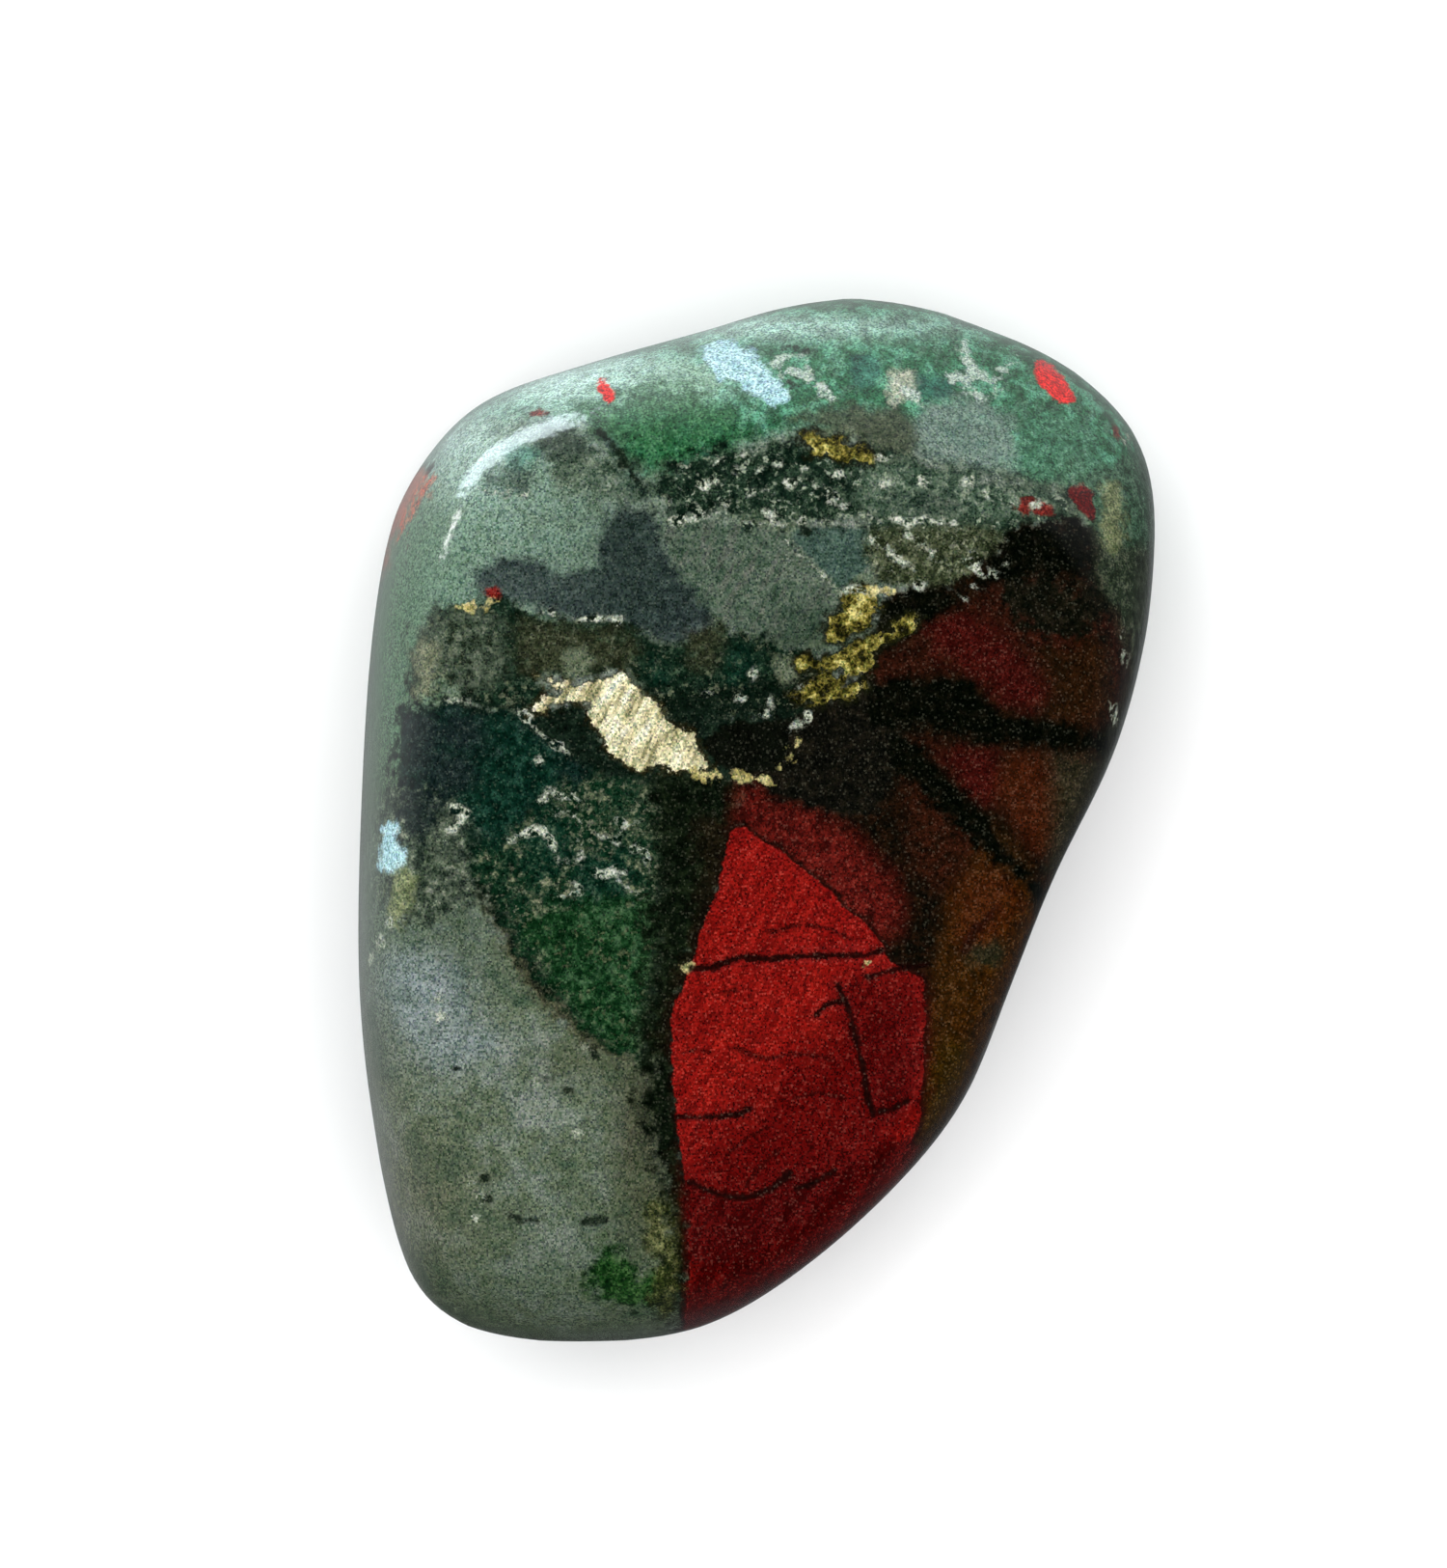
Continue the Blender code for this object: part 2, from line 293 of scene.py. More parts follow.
         (1078, 914), (1110, 948), (1098, 958), (1064, 924), (1042, 904), (1020, 884), (998, 864),
         (976, 843), (952, 820), (932, 800)],
        [(905, 655), (930, 615), (990, 612), (985, 632), (950, 650), (925, 668), (905, 690)],
        [(1040, 560), (1060, 545), (1110, 545), (1130, 560), (1125, 592), (1080, 596), (1040, 600),
         (1015, 606), (1020, 585)],
    ],
    "pod": [[(740, 760), (750, 752), (770, 748), (790, 748), (810, 748), (820, 755), (815, 765),
        (820, 775), (815, 785), (805, 795), (795, 800), (780, 800), (760, 798), (745, 795), (735, 785),
        (728, 772)]],
    "cream": [[(556, 700), (566, 703), (580, 708), (600, 710), (625, 705), (640, 697), (648, 700),
        (660, 712), (665, 720), (675, 725), (685, 735), (690, 745), (698, 755), (710, 757), (720, 765),
        (722, 773), (728, 780), (735, 788), (737, 797), (728, 799), (712, 798), (695, 798), (680, 797),
        (665, 799), (655, 794), (645, 788), (635, 782), (628, 775), (622, 765), (618, 755), (613, 742),
        (606, 731), (595, 727), (580, 730), (565, 735), (550, 737), (556, 728), (570, 722), (582, 718),
        (572, 710), (560, 706)]],
    "ochre": [
        [(870, 625), (878, 616), (895, 612), (904, 617), (909, 630), (908, 637), (900, 645), (890, 650),
         (880, 658), (868, 665), (858, 662), (855, 650), (862, 640), (870, 635)],
        [(948, 638), (940, 640), (928, 648), (915, 655), (903, 662), (890, 665), (875, 672), (862, 680),
         (850, 684), (838, 682), (828, 684), (826, 692), (835, 695), (850, 692), (862, 690), (872, 695),
         (872, 705), (880, 702), (890, 702), (898, 698), (903, 688), (905, 675), (920, 670), (935, 658),
         (947, 648)],
        [(820, 722), (830, 715), (838, 705), (850, 700), (865, 705), (872, 712), (880, 708), (895, 705),
         (903, 700), (900, 710), (890, 720), (878, 725), (868, 722), (855, 725), (845, 730),
         (830, 728)],
        [(830, 447), (845, 447), (858, 455), (875, 458), (890, 462), (900, 470), (905, 478), (890, 478),
         (870, 475), (855, 475), (843, 468), (835, 458)],
    ],
    # These two pale blue spots, on the top rim and on the left rim, are painted reflections.
    "painted_blue_reflection": [
        [(727, 362), (735, 357), (750, 354), (762, 356), (775, 365), (785, 370), (795, 378), (803, 388),
         (812, 398), (818, 408), (812, 416), (803, 418), (795, 418), (785, 410), (775, 403), (765, 396),
         (752, 393), (740, 388), (733, 378), (728, 370)],
        [(405, 852), (412, 858), (414, 868), (418, 880), (418, 893), (412, 903), (403, 905), (395, 898),
         (393, 885), (396, 870), (400, 858)],
    ],
    "top_green": [[(300, 470), (470, 440), (560, 432), (620, 440), (660, 500), (700, 512), (745, 470),
        (830, 445), (930, 430), (1000, 470), (1080, 490), (1120, 470), (1150, 560), (1160, 640),
        (1300, 640), (1300, 250), (900, 200), (500, 250)]],
    "vivid_green": [[(590, 425), (630, 400), (690, 396), (740, 410), (772, 436), (762, 468), (730, 484),
        (700, 488), (668, 482), (640, 466), (610, 450)]],
    "grey_below": [[(560, 455), (600, 450), (640, 480), (690, 488), (730, 486), (720, 510), (690, 522),
        (650, 526), (615, 520), (580, 500)]],
    "low_green": [[(612, 1335), (620, 1345), (640, 1352), (660, 1354), (680, 1348), (692, 1330),
        (684, 1316), (662, 1316), (655, 1308), (640, 1298), (630, 1291), (618, 1298), (614, 1320)]],
    "low_olive": [[(672, 1250), (690, 1246), (700, 1290), (702, 1345), (690, 1362), (676, 1345),
        (680, 1310), (668, 1290)]],
    "mottled_band": [[(684, 496), (700, 480), (722, 470), (745, 464), (775, 464), (800, 458),
        (860, 458), (930, 472), (1000, 490), (1060, 500), (1105, 510), (1110, 540), (1050, 560),
        (1020, 600), (990, 615), (930, 612), (900, 590), (905, 560), (890, 545), (820, 548), (760, 540),
        (735, 532), (700, 534), (680, 520)]],
    "red_spots": [
        [(1075, 378), (1083, 374), (1092, 380), (1100, 388), (1108, 398), (1114, 410), (1112, 417),
         (1103, 419), (1095, 414), (1085, 408), (1078, 400), (1074, 388)],
        [(620, 390), (628, 395), (635, 405), (637, 415), (630, 420), (625, 412), (620, 405)],
    ],
    "dark_red_spots": [[(1111, 506), (1120, 502), (1130, 507), (1134, 518), (1136, 535), (1130, 538),
        (1122, 530), (1113, 520), (1110, 512)]],
    "yellow_green": [
        [(1143, 500), (1152, 497), (1160, 503), (1163, 520), (1164, 540), (1166, 555), (1158, 570),
         (1150, 572), (1145, 560), (1142, 540), (1143, 520)],
        [(408, 905), (420, 900), (430, 915), (424, 945), (412, 962), (404, 950)],
    ],
    "tan": [[(433, 670), (448, 668), (452, 690), (448, 715), (436, 728), (430, 720), (436, 700),
        (430, 685)]],
    "edge_red": [[(440, 487), (447, 497), (442, 509), (431, 521), (420, 537), (412, 555), (402, 573),
        (393, 592), (384, 578), (388, 558), (380, 538), (394, 522), (396, 503), (416, 500),
        (424, 486)]],
    "lilac_patch": [[(402, 1000), (440, 990), (465, 1000), (478, 1030), (492, 1058), (514, 1076),
        (502, 1096), (470, 1100), (440, 1093), (420, 1070), (408, 1035)]],
    "back_green": [[(548, 402), (610, 398), (660, 372), (742, 384), (830, 392), (905, 440), (880, 520),
        (912, 596), (845, 640), (800, 690), (752, 676), (700, 726), (640, 706), (592, 668), (604, 610),
        (540, 560), (560, 480)]],
    "back_red": [
        [(588, 770), (632, 742), (690, 748), (712, 790), (744, 830), (716, 862), (722, 912), (668, 934),
         (640, 906), (598, 902), (606, 850), (570, 818)],
        [(452, 552), (500, 538), (530, 566), (512, 618), (486, 604), (460, 616)],
        [(640, 1120), (668, 1104), (690, 1130), (672, 1170), (648, 1158)],
    ],
    "back_slate": [[(410, 930), (452, 884), (520, 872), (560, 906), (618, 930), (604, 1000),
        (634, 1052), (580, 1100), (588, 1160), (520, 1196), (470, 1166), (428, 1172), (440, 1090),
        (402, 1040)]],
    "back_cream": [[(622, 712), (668, 694), (690, 704), (744, 684), (790, 696), (836, 674), (884, 690),
        (858, 718), (812, 712), (786, 734), (730, 726), (704, 744), (668, 732)]],
    "dark_patch": [[(1040, 604), (1062, 594), (1095, 596), (1128, 604), (1148, 625), (1142, 652),
        (1118, 664), (1085, 660), (1062, 650), (1047, 630)]],
    "brown_beside": [[(1078, 670), (1110, 668), (1145, 660), (1160, 700), (1150, 744), (1105, 748),
        (1080, 744), (1088, 715), (1082, 690)]],
    "brown_under": [[(940, 800), (962, 808), (985, 828), (1010, 854), (1035, 882), (1058, 908),
        (1030, 918), (1002, 905), (985, 925), (958, 915), (944, 880), (936, 835)]],
    "dark_wedge": [[(735, 765), (820, 745), (905, 700), (938, 760), (928, 800), (914, 832), (885, 848),
        (850, 838), (800, 825), (790, 812), (770, 812)]],
    "olive_left": [[(430, 652), (478, 630), (512, 640), (522, 690), (500, 716), (462, 712),
        (434, 716)]],
    "band_right": [[(890, 484), (940, 480), (1000, 492), (1060, 506), (1096, 520), (1060, 536),
        (1000, 540), (940, 540), (900, 530)]],
}

# Long thin marks as (the points along each, half its width).
PALE_STROKES = (
    (((815, 560), (845, 588), (858, 600), (870, 615)), 2.6),
    (((870, 615), (880, 612), (905, 612), (925, 612)), 2.6),
    (((540, 740), (560, 760), (590, 780)), 2.2),
    (((480, 727), (493, 731)), 3.0),
    (((536, 739), (548, 741)), 3.0),
    (((700, 540), (730, 536), (750, 530), (762, 541), (800, 544), (840, 541), (870, 543)), 2.6),
    (((875, 538), (900, 535), (940, 540), (990, 541)), 3.2),
    (((496, 505), (520, 512), (545, 510)), 2.4),
    (((470, 836), (482, 842), (476, 858), (466, 862)), 3.0),
    (((905, 560), (930, 575), (948, 590)), 2.4),
    (((940, 556), (965, 572), (984, 590)), 2.2),
    (((975, 552), (1000, 566), (1014, 580)), 2.2),
    (((560, 634), (600, 642), (645, 640)), 1.4),
    (((1020, 508), (1040, 520)), 2.6),
    (((1000, 580), (1020, 598)), 2.6),
    (((560, 830), (570, 820), (580, 825), (600, 830)), 2.6),
    (((575, 840), (590, 842), (600, 850), (610, 860), (630, 868), (640, 872)), 2.8),
    (((530, 870), (545, 862), (555, 858), (565, 865)), 2.6),
    (((565, 860), (572, 870), (575, 885), (580, 895), (600, 895), (605, 880), (598, 870)), 2.4),
    (((620, 905), (635, 903), (645, 905)), 2.6),
    (((590, 915), (600, 920), (598, 925), (580, 930)), 2.4),
    (((640, 850), (650, 856), (660, 852)), 2.4),
    (((660, 878), (672, 885), (668, 898)), 2.4),
    (((640, 912), (652, 920), (662, 926)), 2.4),
)
WHITE_STROKES = (
    (((1000, 356), (1002, 372), (1010, 390)), 4.5),
    (((1012, 384), (1024, 394), (1036, 408)), 4.0),
    (((986, 388), (1002, 398), (1016, 408)), 3.5),
    (((1040, 382), (1052, 374)), 3.0),
    (((803, 380), (814, 369), (830, 371), (837, 380)), 3.0),
    (((808, 390), (820, 383), (830, 385), (838, 393)), 2.6),
    (((938, 405), (948, 412), (952, 420)), 4.0),
    (((845, 398), (856, 404), (862, 412)), 2.6),
)
CREAM_STROKES = (
    (((718, 799), (730, 802), (742, 801), (752, 803), (760, 800), (768, 806), (775, 805),
      (785, 808), (795, 806)), 3.4),
    (((803, 800), (809, 797)), 3.2),
    (((819, 781), (828, 770)), 3.0),
    (((905, 613), (925, 612)), 3.0),
)
# The two dark strokes near y 1265 lie in pits and are painted shade in them; the others are dark
# streaks in the stone.
DARK_STROKES_AND_PIT_SHADE = (
    (((622, 446), (640, 468), (660, 498)), 3.2),
    (((530, 1259), (540, 1264), (556, 1266)), 3.6),
    (((604, 1266), (628, 1265)), 4.2),
    (((812, 362), (835, 363)), 3),
)
CRACKS = (
    (((718, 1004), (735, 1003), (752, 997), (770, 992), (800, 994), (830, 991), (870, 990),
      (900, 990), (915, 984)), 3.7),
    (((868, 1020), (873, 1030), (880, 1045), (884, 1060), (888, 1080), (893, 1100),
      (897, 1120), (900, 1140), (905, 1155)), 3.1),
    (((845, 1052), (855, 1042), (870, 1038)), 2.9),
    (((912, 1152), (925, 1150), (940, 1142)), 2.9),
    (((702, 1158), (720, 1158), (745, 1157), (765, 1155), (775, 1150)), 3.1),
    (((715, 1225), (730, 1232), (745, 1238), (760, 1241), (775, 1241), (785, 1238),
      (800, 1232), (810, 1225), (818, 1215)), 3.7),
    (((825, 1232), (840, 1228), (855, 1220), (865, 1212)), 2.9),
    (((900, 1012), (930, 1004), (960, 1000)), 2.9),
)
FAINT_CRACKS = (
    (((760, 1085), (775, 1092), (795, 1097), (820, 1092), (850, 1095), (862, 1098)), 2.0),
    (((798, 966), (830, 958), (860, 962), (882, 974)), 1.6),
    (((730, 1034), (748, 1028), (764, 1026)), 1.4),
    (((756, 1195), (775, 1180), (795, 1168)), 1.6),
    (((770, 1232), (788, 1210), (806, 1192)), 1.6),
    (((812, 1228), (826, 1205), (842, 1190)), 1.6),
    (((705, 1092), (722, 1088), (740, 1090)), 1.4),
    (((820, 1140), (850, 1132), (875, 1138)), 1.4),
)
# A painted highlight: a lighter red band along the red's lower right rim.
RED_RIM_HIGHLIGHT = (
    (((944, 1196), (918, 1238), (880, 1277), (820, 1326), (760, 1364), (718, 1384)), 6),
)

# Small spots as (x, y, half width, half height).
# The pale flecks at the pits, at (557, 789), (607, 1089), (490, 1228), (498, 1240) and (735, 1218), are
# painted highlights on the pits' rims; the rest are pale grains.
PALE_FLECKS_AND_PIT_HIGHLIGHTS = (
    (730, 505, 6, 6), (773, 470, 5, 4), (766, 489, 4, 4), (787, 485, 4, 5), (776, 512, 5, 4),
    (818, 500, 5, 4), (845, 503, 4, 4), (862, 512, 5, 4), (875, 525, 4, 4), (890, 535, 5, 4),
    (920, 500, 10, 6), (915, 475, 6, 5), (925, 500, 5, 5), (955, 500, 8, 6), (998, 502, 5, 4),
    (1007, 502, 4, 4), (935, 583, 7, 5), (955, 563, 6, 5), (937, 610, 6, 5), (953, 607, 5, 4),
    (1030, 593, 6, 5), (1043, 584, 5, 4), (1010, 610, 6, 4), (1000, 620, 5, 4),
    (593, 827, 6, 5), (578, 842, 6, 5), (635, 904, 7, 4), (792, 740, 5, 4), (825, 750, 7, 6),
    (836, 742, 4, 4), (1162, 662, 4, 6), (1165, 680, 4, 8), (1155, 740, 3, 8), (403, 957, 4, 5),
    (394, 972, 4, 5), (388, 995, 3, 7), (555, 1122, 4, 4), (598, 1173, 4, 4), (437, 1142, 4, 4),
    (493, 1265, 4, 4), (490, 1228, 5, 6), (498, 1240, 4, 6), (607, 1089, 5, 5), (557, 789, 5, 5),
    (665, 1322, 6, 4), (838, 392, 4, 4), (850, 400, 4, 4), (1168, 455, 3, 5), (950, 416, 5, 4),
    (1050, 522, 5, 4), (1070, 522, 4, 4), (455, 1052, 9, 5), (735, 1218, 3, 3),
    (705, 492, 5, 4), (716, 520, 5, 4), (742, 498, 4, 4), (752, 520, 5, 4), (795, 508, 5, 4),
    (805, 478, 5, 5), (832, 486, 4, 4), (868, 492, 6, 4), (745, 478, 4, 4), (690, 520, 6, 4),
    (725, 534, 6, 3), (800, 532, 7, 3), (455, 1030, 5, 7), (470, 725, 5, 3), (447, 735, 4, 4),
    (765, 722, 5, 4), (800, 728, 4, 4), (780, 700, 4, 4), (830, 712, 4, 4), (735, 716, 5, 3),
)
CREAM_FLECKS = (
    (485, 627, 10, 7), (505, 626, 6, 5), (714, 1001, 5, 3), (900, 999, 3, 3),
)
# The dark flecks at (617, 1093), (503, 1220), (507, 1243) and (557, 789) are painted shade in the pits;
# the rest are dark spots in the stone.
DARK_FLECKS_AND_PIT_SHADE = (
    (617, 1093, 6, 4), (568, 1118, 5, 3), (590, 1130, 5, 3), (475, 1108, 6, 3), (503, 1220, 5, 4),
    (507, 1243, 5, 6), (445, 485, 4, 5), (835, 550, 6, 5), (557, 789, 2.4, 2.4), (645, 478, 5, 7),
    (822, 398, 7, 5),
)
RED_FLECKS = (
    (1060, 524, 9, 8), (1080, 530, 8, 7), (1157, 447, 3, 4), (560, 428, 6, 4), (510, 615, 6, 4),
)

# The marks: the strokes and flecks of each.
MARKS = {
    "cracks": {"strokes": CRACKS},
    "faint_cracks": {"strokes": FAINT_CRACKS},
    "red_rim_highlight": {"strokes": RED_RIM_HIGHLIGHT},
    "dark_marks_and_pit_shade": {"strokes": DARK_STROKES_AND_PIT_SHADE, "flecks": DARK_FLECKS_AND_PIT_SHADE},
    "pale_marks_and_pit_highlights": {"strokes": PALE_STROKES, "flecks": PALE_FLECKS_AND_PIT_HIGHLIGHTS},
    "white_marks": {"strokes": WHITE_STROKES},
    "cream_marks": {"strokes": CREAM_STROKES, "flecks": CREAM_FLECKS},
    "red_marks": {"flecks": RED_FLECKS},
}

# Pits as (x, y, half width, how deep in millimetres).
PITS = (
    (607, 1090, 7, 0.07), (612, 1095, 5, 0.05), (505, 1242, 8, 0.09), (497, 1228, 6, 0.05),
    (557, 789, 5, 0.06), (548, 1265, 7, 0.04), (615, 1266, 9, 0.05), (802, 1167, 4, 0.04),
    (900, 999, 5, 0.05), (912, 988, 6, 0.06), (712, 1001, 8, 0.06), (735, 1218, 4, 0.04),
)

# Soft washes of tone as (x, y, half width, half height, strength).
WASHES = {
    "sage": ((560, 555, 110, 60, 0.78), (470, 600, 80, 60, 0.8), (520, 500, 70, 40, 0.6)),
    "moss": ((398, 680, 44, 180, 0.9), (440, 560, 40, 60, 0.4)),
    # This wash is painted sheen: a pale reflection painted along the top and top-left rim and round the
    # key's highlight.
    "painted_rim_sheen": ((590, 392, 90, 26, 0.9), (492, 462, 36, 46, 0.3), (765, 341, 170, 11, 0.45),
             (455, 440, 36, 40, 0.4), (860, 334, 130, 8, 0.15), (700, 392, 60, 22, 0.15)),
    "lilac": ((445, 1045, 44, 42, 0.3), (465, 1100, 44, 22, 0.25), (430, 1010, 44, 36, 0.25),
              (575, 425, 30, 12, 0.5)),
    # This wash is partly painted shade along the bottom and the left rim, and partly darker grey-green
    # in the lower left.
    "darker_and_rim_shade": ((470, 960, 90, 40, 0.4), (540, 1335, 160, 40, 0.3), (600, 1392, 240, 14, 0.6),
              (620, 1290, 80, 60, 0.25), (380, 850, 20, 260, 0.4)),
    "warm": ((420, 1250, 60, 60, 0.4), (395, 1120, 40, 100, 0.2)),
    "bark": ((662, 1180, 28, 90, 0.8), (676, 1250, 26, 60, 0.5), (600, 1100, 40, 26, 0.4)),
    "dusk": ((836, 654, 40, 26, 0.7), (655, 612, 44, 40, 0.3), (650, 545, 60, 30, 0.25)),
    "arm": ((535, 606, 46, 24, 0.3), (590, 612, 30, 24, 0.15)),
}


def layer(body, *tones, by="grit", spread=0.14, grow=0, ragged=4, soft=8, strength=1, where=None):
    """One coat of colour: the body or mark it covers, and the tones that a noise field spreads.

    ragged and soft are how uneven and how blurred its edge is, and grow is how far past its outline
    it goes, in pixels. where names a pattern that it is kept to.
    """
    return {"body": body, "tones": tones, "by": by, "spread": spread, "grow": grow,
            "ragged": ragged, "soft": soft, "strength": strength, "where": where}


def wash(blobs, tone):
    """A soft wash of one tone over the coats before it."""
    return {"wash": blobs, "tones": (tone,)}


